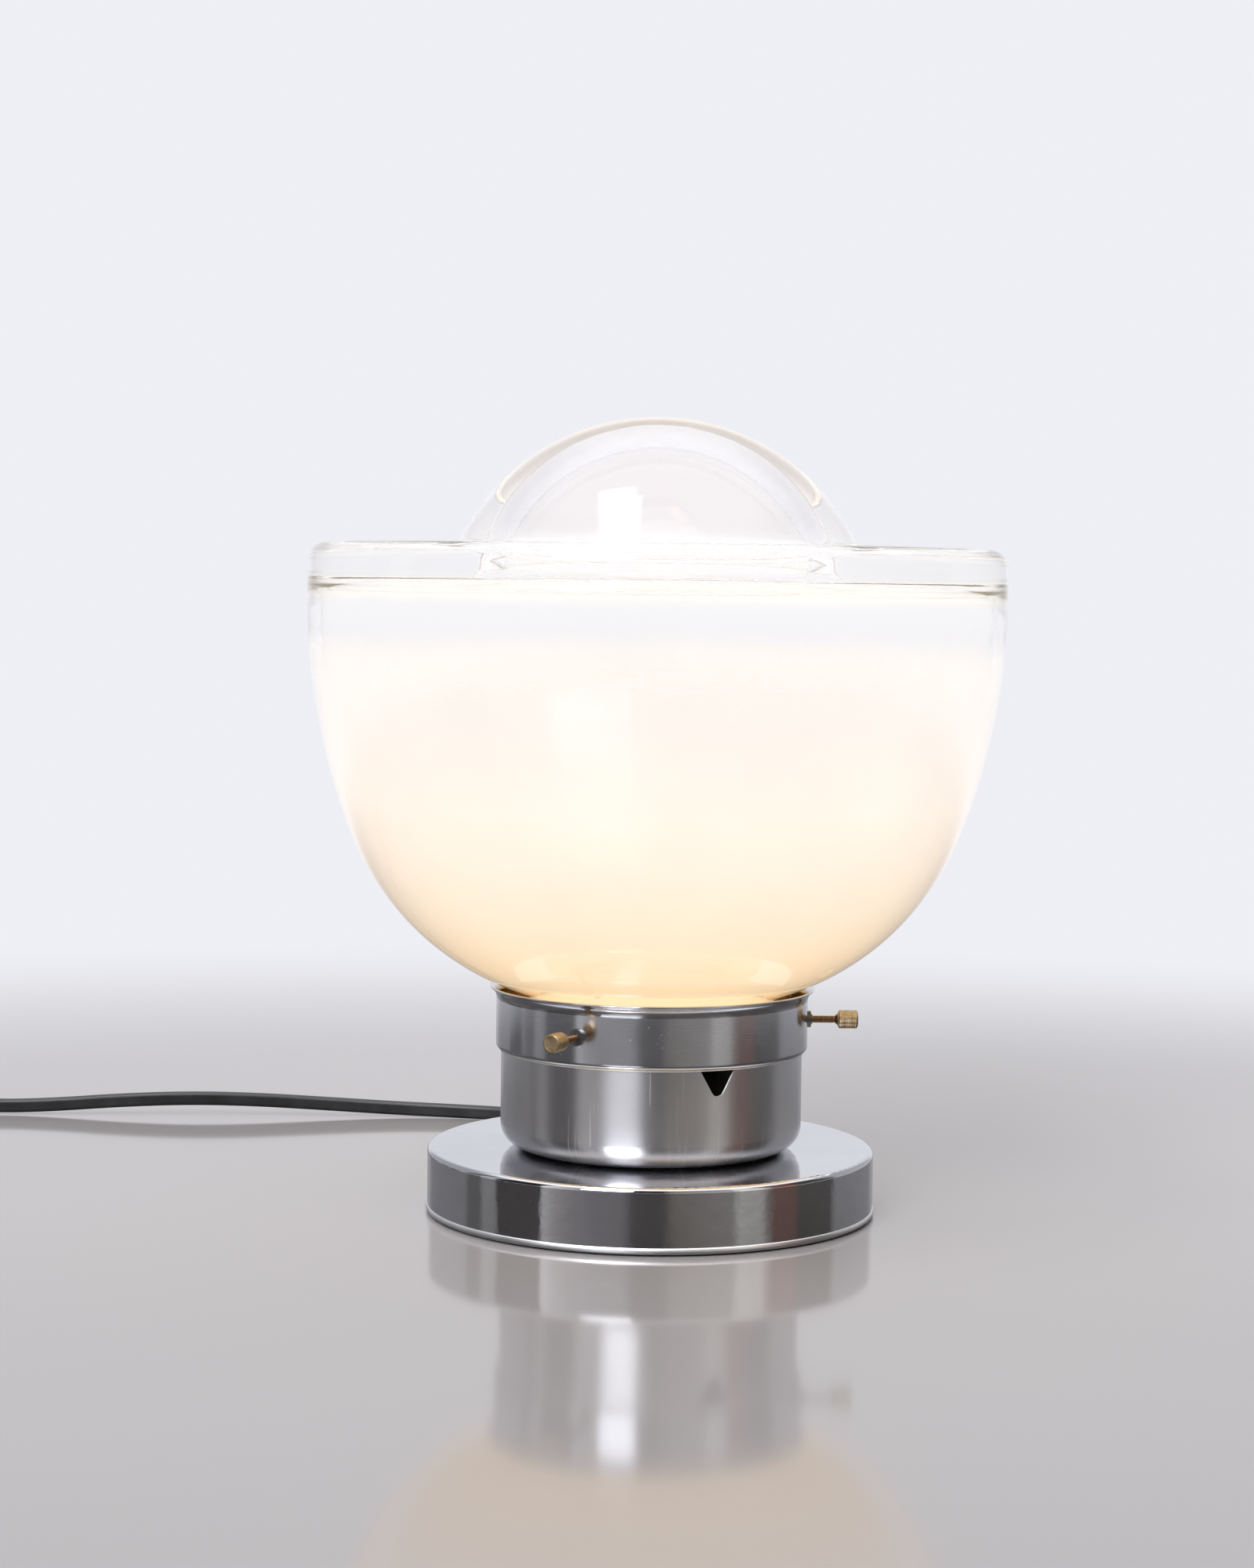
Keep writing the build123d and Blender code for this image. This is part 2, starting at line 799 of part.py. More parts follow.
# Free cord: straight runs and tangent arcs, standing on edge
def route_radii(points):
    radii = []
    for before, corner, after in zip(points, points[1:], points[2:]):
        run_in = Vector(corner) - Vector(before)
        run_out = Vector(after) - Vector(corner)
        half_turn = math.radians(run_in.get_angle(run_out)) / 2
        radii.append(bend_share * min(run_in.length, run_out.length) / math.tan(half_turn))
    return radii


def flat_cord(path):
    plane = Plane(origin=path @ 0, x_dir=(0, 0, 1), z_dir=path % 0)
    section = cord_section(plane)
    tube = sweep(section, path=path)
    print("cord length", round(path.length, 1), "volume / (section x length)",
          round(tube.volume / (section.area * path.length), 4))
    return tube


def cord_lead():
    radii = route_radii(lead_route)
    print("lead radii", [round(radius) for radius in radii])
    return flat_cord(FilletPolyline(*lead_route, radius=radii).wire())


# Coil: spirals in, climbs a layer where it turns back, and spirals out again
def coil_point(angle):
    rate = coil_pitch / (2 * math.pi)
    layer = 2 * math.pi * coil_turns_in_layer
    inner = coil_radius - rate * layer
    past = min(max(angle - layer, 0.0), math.pi)
    share = past / math.pi
    climb = share * share * (3 - 2 * share)
    dip = coil_reversal_dip * math.sin(past) ** 2
    if angle <= layer:
        radius = coil_radius - rate * angle
    elif angle <= layer + math.pi:
        radius = inner - rate * past + rate * past * past / math.pi - dip
    else:
        radius = inner + rate * (angle - layer - math.pi)
    turn = math.pi / 2 + angle
    return Vector(
        coil_centre[0] + radius * math.cos(turn),
        coil_centre[1] + radius * math.sin(turn),
        coil_layer_one + coil_layer_height * climb,
    )


def coil_direction(angle):
    return (coil_point(angle + direction_step) - coil_point(angle - direction_step)).normalized()


def biarc(start, start_direction, end, end_direction):
    gap = end - start
    total = start_direction + end_direction
    square = 2 * (1 - start_direction.dot(end_direction))
    along = gap.dot(total)
    if square < straight_limit:
        reach = gap.dot(gap) / (2 * along)
    else:
        reach = (math.sqrt(along * along + square * gap.dot(gap)) - along) / square
    middle = (start + start_direction * reach + end - end_direction * reach) * 0.5
    first = TangentArc(start, middle, tangent=start_direction)
    return [first, TangentArc(middle, end, tangent=first % 1)]


def coil_path():
    total = 2 * math.pi * (2 * coil_turns_in_layer + 0.5)
    quarters = round(total / (math.pi / 2))
    angles = [total * index / quarters for index in range(quarters + 1)]
    along = Vector(1, 0, 0)
    entry = Vector(lead_route[-1]) - along * switch_length
    straight_in = entry - along * cord_width
    edges = [Line(entry, straight_in)]
    edges += biarc(straight_in, -along, coil_point(angles[0]), coil_direction(angles[0]))
    for low, high in zip(angles, angles[1:]):
        edges += biarc(coil_point(low), coil_direction(low), coil_point(high), coil_direction(high))
    last = coil_point(total)
    level = last + coil_direction(total) * tail_level_run
    plug_entry = plug_rear()
    straight_out = plug_entry - along * cord_width
    edges.append(Line(last, level))
    edges += biarc(level, coil_direction(total), straight_out, along)
    edges.append(Line(straight_out, plug_entry))
    return edges


def plug_rear():
    return Vector(coil_centre[0] + tail_length, coil_centre[1] - coil_radius, plug_thickness / 2)


def least_gap(edges):
    samples = []
    travelled = 0.0
    for edge in edges:
        for index in range(gap_samples):
            share = index / gap_samples
            samples.append((travelled + edge.length * share, edge @ share))
        travelled += edge.length
    least = math.inf
    for index, (here, point) in enumerate(samples):
        for there, other in samples[index + 1:]:
            if there - here > gap_apart * cord_width:
                flat = math.hypot(point.X - other.X, point.Y - other.Y) - cord_thickness
                upright = abs(point.Z - other.Z) - cord_width
                least = min(least, max(flat, upright))
    return least


def cord_coil():
    edges = coil_path()
    print("coil least gap to itself", round(least_gap(edges), 2))
    return flat_cord(Wire(edges))


def cord_tie():
    inner_turn = coil_radius - coil_pitch * coil_turns_in_layer - coil_reversal_dip - coil_pitch
    low = inner_turn - cord_thickness / 2 - tie_gap
    high = coil_radius + cord_thickness / 2 + tie_gap
    top = coil_layer_one + coil_layer_height + cord_width / 2 + tie_gap / 2
    outer = rounded_face([
        (low - tie_thickness, 0, 2 * tie_thickness),
        (high + tie_thickness, 0, 2 * tie_thickness),
        (high + tie_thickness, top + tie_thickness, 2 * tie_thickness),
        (low - tie_thickness, top + tie_thickness, 2 * tie_thickness),
    ])
    hole = rounded_face([
        (low, tie_thickness, tie_thickness),
        (high, tie_thickness, tie_thickness),
        (high, top, tie_thickness),
        (low, top, tie_thickness),
    ])
    band = extrude(Plane.XZ * (outer - hole), tie_width / 2, both=True)
    return Pos(coil_centre[0], coil_centre[1], 0) * band


# Switch in the cord, drawn about its own middle and moved to its place
def switch_place():
    end = Vector(lead_route[-1])
    return Pos(end.X - switch_length / 2, end.Y, 0)


def switch_half(bottom, height, edge_group):
    plan = RectangleRounded(switch_length, switch_width, switch_corner)
    block = Pos(0, 0, bottom) * extrude(plan, height)
    block = fillet(block.edges().group_by(Axis.Z)[edge_group], switch_edge_rounding)
    inner = RectangleRounded(
        switch_length - 2 * switch_wall, switch_width - 2 * switch_wall, switch_corner - switch_wall
    )
    return block, inner


def screw_spots():
    x, y = switch_screw_offset
    return [(-x, y), (x, -y)]


def switch_lower_shell():
    block, inner = switch_half(0, switch_lower_height, 0)
    block -= Pos(0, 0, switch_wall) * extrude(inner, switch_lower_height)
    for x, y in screw_spots():
        block += Pos(x, y, 0) * ring(switch_boss_radius, 0, switch_wall, switch_lower_height)
        head = ring(switch_screw_head_radius + switch_screw_gap, 0, 0, switch_screw_head_thickness)
        shank = ring(switch_screw_radius + switch_screw_gap, 0, 0, switch_height)
        block -= Pos(x, y, 0) * (head + shank)
    return switch_place() * block


def rocker_pivot_height():
    return switch_height - rocker_pivot_below_top


def switch_upper_shell():
    block, inner = switch_half(switch_lower_height, switch_upper_height, -1)
    ceiling = switch_height - switch_wall
    block -= Pos(0, 0, switch_lower_height) * extrude(inner, ceiling - switch_lower_height)
    window_length = 2 * (rocker_radius + rocker_gap)
    window_width = rocker_width + 2 * rocker_gap
    cheek_base = rocker_pivot_height() - 2 * pivot_pin_radius
    cheeks = Box(
        window_length,
        window_width + 2 * cheek_thickness,
        ceiling - cheek_base,
        align=(Align.CENTER, Align.CENTER, Align.MIN),
    )
    block += Pos(0, 0, cheek_base) * cheeks
    block -= Box(window_length, window_width, 4 * switch_height)
    pin_hole_length = window_width + 2 * cheek_thickness
    pin_hole = Cylinder(pivot_pin_radius + thread_gap, pin_hole_length, rotation=(90, 0, 0))
    block -= Pos(0, 0, rocker_pivot_height()) * pin_hole
    for x, y in screw_spots():
        block += Pos(x, y, 0) * ring(switch_boss_radius, 0, switch_lower_height, ceiling)
        block -= Pos(x, y, 0) * ring(switch_screw_radius + thread_gap, 0, 0, ceiling)
    return switch_place() * block


def switch_screw(spot):
    head = ring(switch_screw_head_radius, 0, 0, switch_screw_head_thickness)
    shank = ring(switch_screw_radius, 0, 0, switch_height - switch_wall)
    return switch_place() * Pos(spot[0], spot[1], 0) * (head + shank)


def pivot_pin():
    length = rocker_width + 2 * rocker_gap + 2 * cheek_thickness
    pin = Cylinder(pivot_pin_radius, length, rotation=(90, 0, 0))
    return switch_place() * Pos(0, 0, rocker_pivot_height()) * pin


def switch_rocker():
    tilt = math.radians(rocker_throw / 2)
    top_end = (rocker_radius * math.cos(tilt), rocker_radius * math.sin(tilt) + rocker_waist)
    lift = math.asin(top_end[1] / rocker_radius)
    end_x = rocker_radius * math.cos(lift)
    drop = math.asin(rocker_depth / rocker_radius)
    low_x = rocker_radius * math.cos(drop)
    edges = [
        Line((-end_x, top_end[1]), (0, rocker_waist)),
        Line((0, rocker_waist), (end_x, top_end[1])),
        ThreePointArc((end_x, top_end[1]), (rocker_radius, 0), (low_x, -rocker_depth)),
        Line((low_x, -rocker_depth), (-low_x, -rocker_depth)),
        ThreePointArc((-low_x, -rocker_depth), (-rocker_radius, 0), (-end_x, top_end[1])),
    ]
    body = extrude(Plane.XZ * make_face(edges), rocker_width / 2, both=True)
    body -= Cylinder(pivot_pin_radius + pivot_pin_gap, 2 * rocker_width, rotation=(90, 0, 0))
    return switch_place() * Pos(0, 0, rocker_pivot_height()) * Rot(0, rocker_throw / 2, 0) * body


def switch_contact(side):
    strip = Box(contact_length, contact_width, contact_thickness)
    return switch_place() * Pos(side * contact_length, 0, switch_wall + contact_thickness / 2) * strip


# Plug: flat body that narrows towards the cord, and two round pins
def plug_body():
    front = plug_front_width / 2
    rear = plug_rear_width / 2
    plan = rounded_face([
        (0, -rear, plug_rounding),
        (0, rear, plug_rounding),
        (plug_length - plug_front_depth, front, plug_front_depth / 2),
        (plug_length, front, plug_rounding),
        (plug_length, -front, plug_rounding),
        (plug_length - plug_front_depth, -front, plug_front_depth / 2),
    ])
    rear_point = plug_rear()
    body = extrude(plan, plug_thickness)
    body = fillet(body.edges().group_by(Axis.Z)[0] + body.edges().group_by(Axis.Z)[-1], plug_rounding)
    return Pos(rear_point.X, rear_point.Y, 0) * body


def plug_pin(side):
    rear_point = plug_rear()
    pin = turned_along_x([
        (0, 0, 0),
        (pin_radius, 0, 0),
        (pin_radius, pin_length, pin_radius / 2),
        (0, pin_length, 0),
    ])
    return Pos(rear_point.X + plug_length, rear_point.Y + side * pin_spacing / 2, rear_point.Z) * pin


save("base_shell", base_shell())
save("base_ballast", base_ballast())
save("base_cover", base_cover())
save("base_felt", base_felt())
save("threaded_tube", threaded_tube())
save("foot_washer", washer(washer_radius, foot_nut_top, washer_thickness))
save("foot_nut", hex_nut(foot_nut_top - nut_thickness))
save("base_spacer", washer(spacer_radius, base_height, spacer_thickness))
save("canister", canister())
save("canister_washer", washer(washer_radius, canister_inside, washer_thickness))
save("canister_nut", hex_nut(canister_inside + washer_thickness))
save("gallery_nut", hex_nut(canister_rim - nut_thickness))
save("gallery_cup", gallery_cup())
save("shade_gasket", shade_gasket())
save("star_washer", washer(star_washer_radius, gallery_inside, star_washer_thickness))
save("screw_bushes", *[screw_bush(azimuth) for azimuth in screw_azimuths()])
for name, azimuth in zip(("left", "right", "rear"), screw_azimuths()):
    save(f"thumb_screw_{name}", thumb_screw(azimuth))
save("glass_neck", shade_ring(shade_seat, gallery_neck_top))
save("glass_bowl", shade_ring(gallery_neck_top, crown_bottom))
save("glass_crown", shade_ring(crown_bottom, shade_top))
save("holder_cap", holder_cap())
save("holder_skirt", holder_skirt())
save("holder_insert", holder_insert())
save("holder_thread_shell", thread_shell())
save("holder_centre_contact", centre_contact())
save("terminal_posts", terminal_post(-1), terminal_post(1))
save("terminal_screws", terminal_screw(-1), terminal_screw(1))
save("bulb_cap", bulb_cap())
save("bulb_insulator", bulb_insulator())
save("bulb_contact", bulb_contact())
save("bulb_envelope", bulb_envelope())
save("bulb_stem", bulb_stem())
save("bulb_filament", filament())
save("cord_strain_relief", cord_strain_relief())
save("cord_inner", cord_inner())
save("cord_clamp", cord_clamp())
save("clamp_screws", clamp_screw(-1), clamp_screw(1))
save("core_live", inner_core(1))
save("core_neutral", inner_core(-1))
save("cord_lead", cord_lead())
save("cord_coil", cord_coil())
save("cord_tie", cord_tie())
save("switch_lower_shell", switch_lower_shell())
save("switch_upper_shell", switch_upper_shell())
save("switch_screws", *[switch_screw(spot) for spot in screw_spots()])
save("switch_pivot_pin", pivot_pin())
save("switch_rocker", switch_rocker())
save("switch_contacts", switch_contact(-1), switch_contact(1))
save("plug_body", plug_body())
save("plug_pins", plug_pin(-1), plug_pin(1))
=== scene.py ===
import bmesh
import bpy
import math
from mathutils import Matrix, Vector


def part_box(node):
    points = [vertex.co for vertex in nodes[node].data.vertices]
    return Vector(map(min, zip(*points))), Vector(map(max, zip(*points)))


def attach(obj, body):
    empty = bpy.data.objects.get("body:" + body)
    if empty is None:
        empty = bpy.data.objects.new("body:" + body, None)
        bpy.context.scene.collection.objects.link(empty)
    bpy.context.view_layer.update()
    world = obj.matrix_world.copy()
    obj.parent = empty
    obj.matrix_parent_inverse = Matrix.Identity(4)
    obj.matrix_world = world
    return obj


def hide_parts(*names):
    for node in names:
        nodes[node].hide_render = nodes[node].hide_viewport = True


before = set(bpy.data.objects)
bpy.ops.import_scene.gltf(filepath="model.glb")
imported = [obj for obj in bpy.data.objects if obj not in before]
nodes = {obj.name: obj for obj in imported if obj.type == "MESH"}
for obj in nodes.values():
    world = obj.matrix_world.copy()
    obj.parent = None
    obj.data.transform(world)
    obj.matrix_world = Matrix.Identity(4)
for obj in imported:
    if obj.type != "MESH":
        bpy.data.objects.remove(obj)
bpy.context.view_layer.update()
scene = bpy.context.scene
print("frame loaded:", len(nodes), "nodes")

# Camera where the photograph was taken from
viewpoint = {
    "place": (-0.0107, -1.201, 0.245),
    "tiltDown": 3.82,  # degrees
    "roll": 0.71,  # degrees, the picture leans clockwise
    "lens": 72.0,
    "sensor": 36.0,  # mm, along the picture's long side
}


def placeCamera(look):
    data = bpy.data.cameras.new("photoCamera")
    data.sensor_fit = "VERTICAL"
    data.sensor_height = look["sensor"]
    data.sensor_width = look["sensor"]
    data.lens = look["lens"]
    data.clip_start = 0.01
    eye = bpy.data.objects.new("photoCamera", data)
    eye.location = look["place"]
    eye.rotation_mode = "ZYX"  # tilt after roll
    eye.rotation_euler = (math.radians(90 - look["tiltDown"]), 0, math.radians(look["roll"]))
    scene.collection.objects.link(eye)
    scene.camera = eye


placeCamera(viewpoint)
scene.view_settings.view_transform = "Standard"


# Small helpers for node trees and meshes
def feed(tree, node, inputs):
    # links what comes from a node, by its first output if none is named, and sets what is a plain value
    for key, value in inputs.items():
        if isinstance(value, bpy.types.Node):
            value = value.outputs[0]
        if isinstance(value, bpy.types.NodeSocket):
            tree.links.new(value, node.inputs[key])
        else:
            node.inputs[key].default_value = value


def addNode(tree, kind, inputs=None, **settings):
    made = tree.nodes.new(kind)
    for key, value in settings.items():
        setattr(made, key, value)
    feed(tree, made, inputs or {})
    return made


def addRamp(tree, factor, stops):
    made = addNode(tree, "ShaderNodeValToRGB", {"Fac": factor})
    elements = made.color_ramp.elements
    elements.remove(elements[1])
    (place, colour), *others = stops
    elements[0].position, elements[0].color = place, (*colour, 1)
    for place, colour in others:
        elements.new(place).color = (*colour, 1)
    return made.outputs["Color"]


def grey(value):
    return (value, value, value)


def addMath(tree, operation, first, second=0.0, clamp=False):
    return addNode(tree, "ShaderNodeMath", {0: first, 1: second}, operation=operation, use_clamp=clamp)


def mixColours(tree, factor, first, second, kind="MIX"):
    first, second = (
        colour if isinstance(colour, bpy.types.NodeSocket) else (*colour[:3], 1) for colour in (first, second)
    )
    sockets = {0: factor, 6: first, 7: second}  # 6, 7 and output 2 are the node's colour sockets
    return addNode(tree, "ShaderNodeMix", sockets, data_type="RGBA", blend_type=kind).outputs[2]


def startMaterial(name):
    made = bpy.data.materials.new(name)
    made.use_nodes = True
    tree = made.node_tree
    shader = tree.nodes["Principled BSDF"]
    coords = addNode(tree, "ShaderNodeTexCoord").outputs["Object"]
    return made, tree, shader, coords


def stretched(tree, coords, scale):
    return addNode(tree, "ShaderNodeMapping", {"Vector": coords, "Scale": scale}).outputs["Vector"]


def noise(tree, vector, scale, detail=3.0, roughness=0.5):
    values = {"Vector": vector, "Scale": scale, "Detail": detail, "Roughness": roughness}
    return addNode(tree, "ShaderNodeTexNoise", values).outputs["Fac"]


def spread(tree, value, ends):
    values = {"Value": value, "To Min": ends[0], "To Max": ends[1]}
    return addNode(tree, "ShaderNodeMapRange", values).outputs["Result"]


def heightOf(tree, coords):
    return addNode(tree, "ShaderNodeSeparateXYZ", {"Vector": coords}).outputs["Z"]


def flatVector(tree, coords):
    return addNode(tree, "ShaderNodeVectorMath", {0: coords, 1: (1, 1, 0)}, operation="MULTIPLY")


def bumpFrom(tree, shader, height, strength, distance):
    made = addNode(tree, "ShaderNodeBump", {"Height": height, "Strength": strength, "Distance": distance})
    feed(tree, shader, {"Normal": made})


def aroundAxis(tree, coords, places):
    # turns Object coordinates into a direction round the lamp's axis and a height, for streaks
    split = addNode(tree, "ShaderNodeSeparateXYZ", {"Vector": coords})
    angle = addMath(tree, "ARCTAN2", split.outputs["X"], split.outputs["Y"])
    flat = addNode(tree, "ShaderNodeCombineXYZ", {
        "X": addMath(tree, "SINE", angle), "Y": addMath(tree, "COSINE", angle),
        "Z": addMath(tree, "MULTIPLY", split.outputs["Z"], places[1]),
    })
    return stretched(tree, flat, (places[0], places[0], 1.0))


# Metals
metalDetail = {
    "tones": (0.3, 0.72), "roughScale": 3.1,  # against the scale of the clouds
    "patchScale": 24.0, "patchOver": 0.52, "scratchOver": 0.61, "scratchShare": 0.35,
    "speckPatches": 0.21, "speckOver": 0.56, "speckRough": 0.3,
    "cutLean": 0.4, "cutRough": 0.3, "grainDepth": 0.0002,
    "drawnOut": 0.25,  # in turns: stretched reflections run upwards
}


def addScratches(tree, coords, look, colour, rough):
    lines = noise(tree, aroundAxis(tree, coords, look["scratchScale"]), 1.0, detail=5.0, roughness=0.65)
    patches = noise(tree, coords, metalDetail["patchScale"], detail=2.0)
    thin = addMath(tree, "GREATER_THAN", lines, metalDetail["scratchOver"])
    hair = addMath(tree, "MULTIPLY", thin, addMath(tree, "GREATER_THAN", patches, metalDetail["patchOver"]))
    share = addMath(tree, "MULTIPLY", hair, metalDetail["scratchShare"])
    rough = addMath(tree, "ADD", rough, addMath(tree, "MULTIPLY", hair, look["scratches"]))
    return mixColours(tree, share, colour, look["scratchColour"]), rough


def addSpecks(tree, coords, look, colour, rough):
    spots = addNode(tree, "ShaderNodeTexVoronoi", {"Vector": coords, "Scale": look["speckScale"]})
    sparse = noise(tree, coords, look["speckScale"] * metalDetail["speckPatches"], detail=2.0)
    near = addMath(tree, "LESS_THAN", spots.outputs["Distance"], look["specks"])
    speck = addMath(tree, "MULTIPLY", near, addMath(tree, "GREATER_THAN", sparse, metalDetail["speckOver"]))
    rough = addMath(tree, "ADD", rough, addMath(tree, "MULTIPLY", speck, metalDetail["speckRough"]), clamp=True)
    return mixColours(tree, speck, colour, look["speckColour"]), rough


def addInside(tree, coords, look, colour):
    # another colour within a distance from the lamp's axis; on the gallery's inner wall it is a painted reflection of
    # the lit shade's warm glow
    across = addNode(tree, "ShaderNodeVectorMath", {0: flatVector(tree, coords)}, operation="LENGTH").outputs["Value"]
    return mixColours(tree, addMath(tree, "LESS_THAN", across, look["inside"]), colour, look["insideColour"])


def addCuts(tree, coords, look, colour, rough):
    # bare metal on cut edges, painted near white as a painted highlight: faces above a height that look neither in nor
    # out
    outward = addNode(tree, "ShaderNodeVectorMath", {0: flatVector(tree, coords)}, operation="NORMALIZE")
    facing = addNode(tree, "ShaderNodeNewGeometry").outputs["True Normal"]
    lean = addNode(tree, "ShaderNodeVectorMath", {0: facing, 1: outward}, operation="DOT_PRODUCT").outputs["Value"]
    side = addMath(tree, "LESS_THAN", addMath(tree, "ABSOLUTE", lean), metalDetail["cutLean"])
    cut = addMath(tree, "MULTIPLY", side, addMath(tree, "GREATER_THAN", heightOf(tree, coords), look["cutOver"]))
    rough = addMath(tree, "ADD", rough, addMath(tree, "MULTIPLY", cut, metalDetail["cutRough"]), clamp=True)
    return mixColours(tree, cut, colour, look["cutHighlightColour"]), rough


def metalFinish(name, look):
    made, tree, shader, coords = startMaterial(name)
    clouds = noise(tree, coords, look["cloudScale"], detail=4.0)
    colour = addRamp(tree, clouds, zip(metalDetail["tones"], (look["dark"], look["light"])))
    rough = spread(tree, noise(tree, coords, look["cloudScale"] * metalDetail["roughScale"], detail=5.0), look["rough"])
    if "scratches" in look:
        colour, rough = addScratches(tree, coords, look, colour, rough)
    if "specks" in look:
        colour, rough = addSpecks(tree, coords, look, colour, rough)
    if "inside" in look:
        colour = addInside(tree, coords, look, colour)
    if "cutOver" in look:
        colour, rough = addCuts(tree, coords, look, colour, rough)
    feed(tree, shader, {"Base Color": colour, "Roughness": rough, "Metallic": 1.0})
    if "stretch" in look:
        feed(tree, shader, {
            "Anisotropic": look["stretch"], "Anisotropic Rotation": metalDetail["drawnOut"],
            "Tangent": addNode(tree, "ShaderNodeTangent", direction_type="RADIAL", axis="Z").outputs["Tangent"],
        })
    fine = noise(tree, stretched(tree, coords, look["grainScale"]), 1.0, detail=4.0)
    bumpFrom(tree, shader, fine, look["grain"], look.get("grainDepth", metalDetail["grainDepth"]))
    return made


# Moulded plastic, rubber, paint and ceramic
mouldedDetail = {
    "tones": (0.3, 0.7), "cloudScale": 90.0, "coat": 0.0, "grainScale": 2600.0, "grain": 0.15, "grainDepth": 0.0003,
}


def mouldedFinish(name, look):
    made, tree, shader, coords = startMaterial(name)
    look = {**mouldedDetail, **look}
    clouds = noise(tree, coords, look["cloudScale"], detail=4.0)
    colour = addRamp(tree, clouds, zip(look["tones"], (look["dark"], look["light"])))
    rough = spread(tree, clouds, look["rough"])
    feed(tree, shader, {"Base Color": colour, "Roughness": rough, "Coat Weight": look["coat"]})
    bumpFrom(tree, shader, noise(tree, coords, look["grainScale"]), look["grain"], look["grainDepth"])
    return made


# Felt and woven strap
fabricDetail = {
    "tones": (0.15, 0.8), "weaveDepth": 0.6, "rough": 0.95, "sheen": 0.3, "bump": 0.6, "bumpDepth": 0.0004,
}


def fabricFinish(name, look):
    made, tree, shader, coords = startMaterial(name)
    look = {**fabricDetail, **look}
    fibres = noise(tree, coords, look["fibreScale"], detail=6.0, roughness=0.75)
    weave = addNode(tree, "ShaderNodeTexWave", {
        "Vector": coords, "Scale": look["weaveScale"], "Distortion": 1.5, "Detail": 2.0,
    }, bands_direction=look["weaveAcross"]).outputs["Fac"]
    both = addMath(tree, "MULTIPLY", fibres, addMath(tree, "ADD", weave, look["weaveDepth"]))
    colour = addRamp(tree, both, zip(look["tones"], (look["dark"], look["light"])))
    feed(tree, shader, {"Base Color": colour, "Roughness": look["rough"], "Sheen Weight": look["sheen"]})
    bumpFrom(tree, shader, both, look["bump"], look["bumpDepth"])
    return made


metalLooks = {
    "polishedChrome": {
        "dark": (0.56, 0.57, 0.6), "light": (0.68, 0.69, 0.72), "cloudScale": 14.0, "rough": (0.015, 0.05),
        "specks": 0.08, "speckScale": 420.0, "speckColour": (0.3, 0.29, 0.29),
        "grain": 0.5, "grainScale": (55, 55, 55), "grainDepth": 0.0004,
    },
    # the base's chrome painted near white: a painted highlight along the beads
    "beadHighlightChrome": {
        "dark": (0.86, 0.86, 0.87), "light": (0.95, 0.95, 0.96), "cloudScale": 60.0, "rough": (0.3, 0.42),
        "grain": 0.1, "grainScale": (900, 900, 900),
    },
    "satinChrome": {
        "dark": (0.49, 0.485, 0.5), "light": (0.58, 0.57, 0.575), "cloudScale": 20.0, "rough": (0.26, 0.32),
        "scratches": 0.12, "scratchScale": (60.0, 12.0), "scratchColour": (0.86, 0.86, 0.87),
        "specks": 0.09, "speckScale": 520.0, "speckColour": (0.4, 0.38, 0.37),
        "stretch": 0.8, "grain": 0.04, "grainScale": (300, 300, 3800),
        # the canister's cut edges round its notches: bare metal with a painted highlight
        "cutOver": 0.04, "cutHighlightColour": (0.95, 0.94, 0.93),
    },
    "galleryChrome": {
        "dark": (0.54, 0.55, 0.58), "light": (0.64, 0.645, 0.67), "cloudScale": 26.0, "rough": (0.13, 0.19),
        "specks": 0.12, "speckScale": 430.0, "speckColour": (0.42, 0.42, 0.44),
        "stretch": 0.5, "grain": 0.04, "grainScale": (300, 300, 2400),
        # inner wall painted brown-gold: a painted reflection of the lit shade's warm glow
        "inside": 0.05945, "insideColour": (0.75, 0.58, 0.32),
    },
    "darkSteel": {
        "dark": (0.12, 0.12, 0.12), "light": (0.25, 0.245, 0.24), "cloudScale": 300.0, "rough": (0.32, 0.45),
        "grain": 0.2, "grainScale": (2600, 2600, 2600),
    },
    "agedBrass": {
        "dark": (0.3, 0.22, 0.12), "light": (0.62, 0.5, 0.32), "cloudScale": 420.0, "rough": (0.24, 0.4),
        "specks": 0.16, "speckScale": 1500.0, "speckColour": (0.2, 0.16, 0.09),
        "grain": 0.2, "grainScale": (3000, 3000, 3000), "inside": 0.0717, "insideColour": (0.24, 0.15, 0.085),
    },
    "zincSteel": {
        "dark": (0.34, 0.34, 0.35), "light": (0.52, 0.52, 0.53), "cloudScale": 160.0, "rough": (0.28, 0.42),
        "grain": 0.15, "grainScale": (2400, 2400, 2400),
    },
    "castIron": {
        "dark": (0.05, 0.05, 0.052), "light": (0.13, 0.13, 0.135), "cloudScale": 120.0, "rough": (0.5, 0.7),
        "grain": 0.8, "grainScale": (1100, 1100, 1100),
    },
    "brightBrass": {
        "dark": (0.58, 0.42, 0.16), "light": (0.8, 0.62, 0.28), "cloudScale": 140.0, "rough": (0.18, 0.3),
        "grain": 0.12, "grainScale": (2200, 2200, 2200),
    },
    "bulbMetal": {
        "dark": (0.6, 0.6, 0.61), "light": (0.78, 0.78, 0.79), "cloudScale": 130.0, "rough": (0.22, 0.34),
        "grain": 0.12, "grainScale": (2000, 2000, 2000),
    },
    "pinNickel": {
        "dark": (0.55, 0.52, 0.47), "light": (0.72, 0.69, 0.63), "cloudScale": 150.0, "rough": (0.14, 0.26),
        "grain": 0.1, "grainScale": (4000, 800, 800),
    },
}
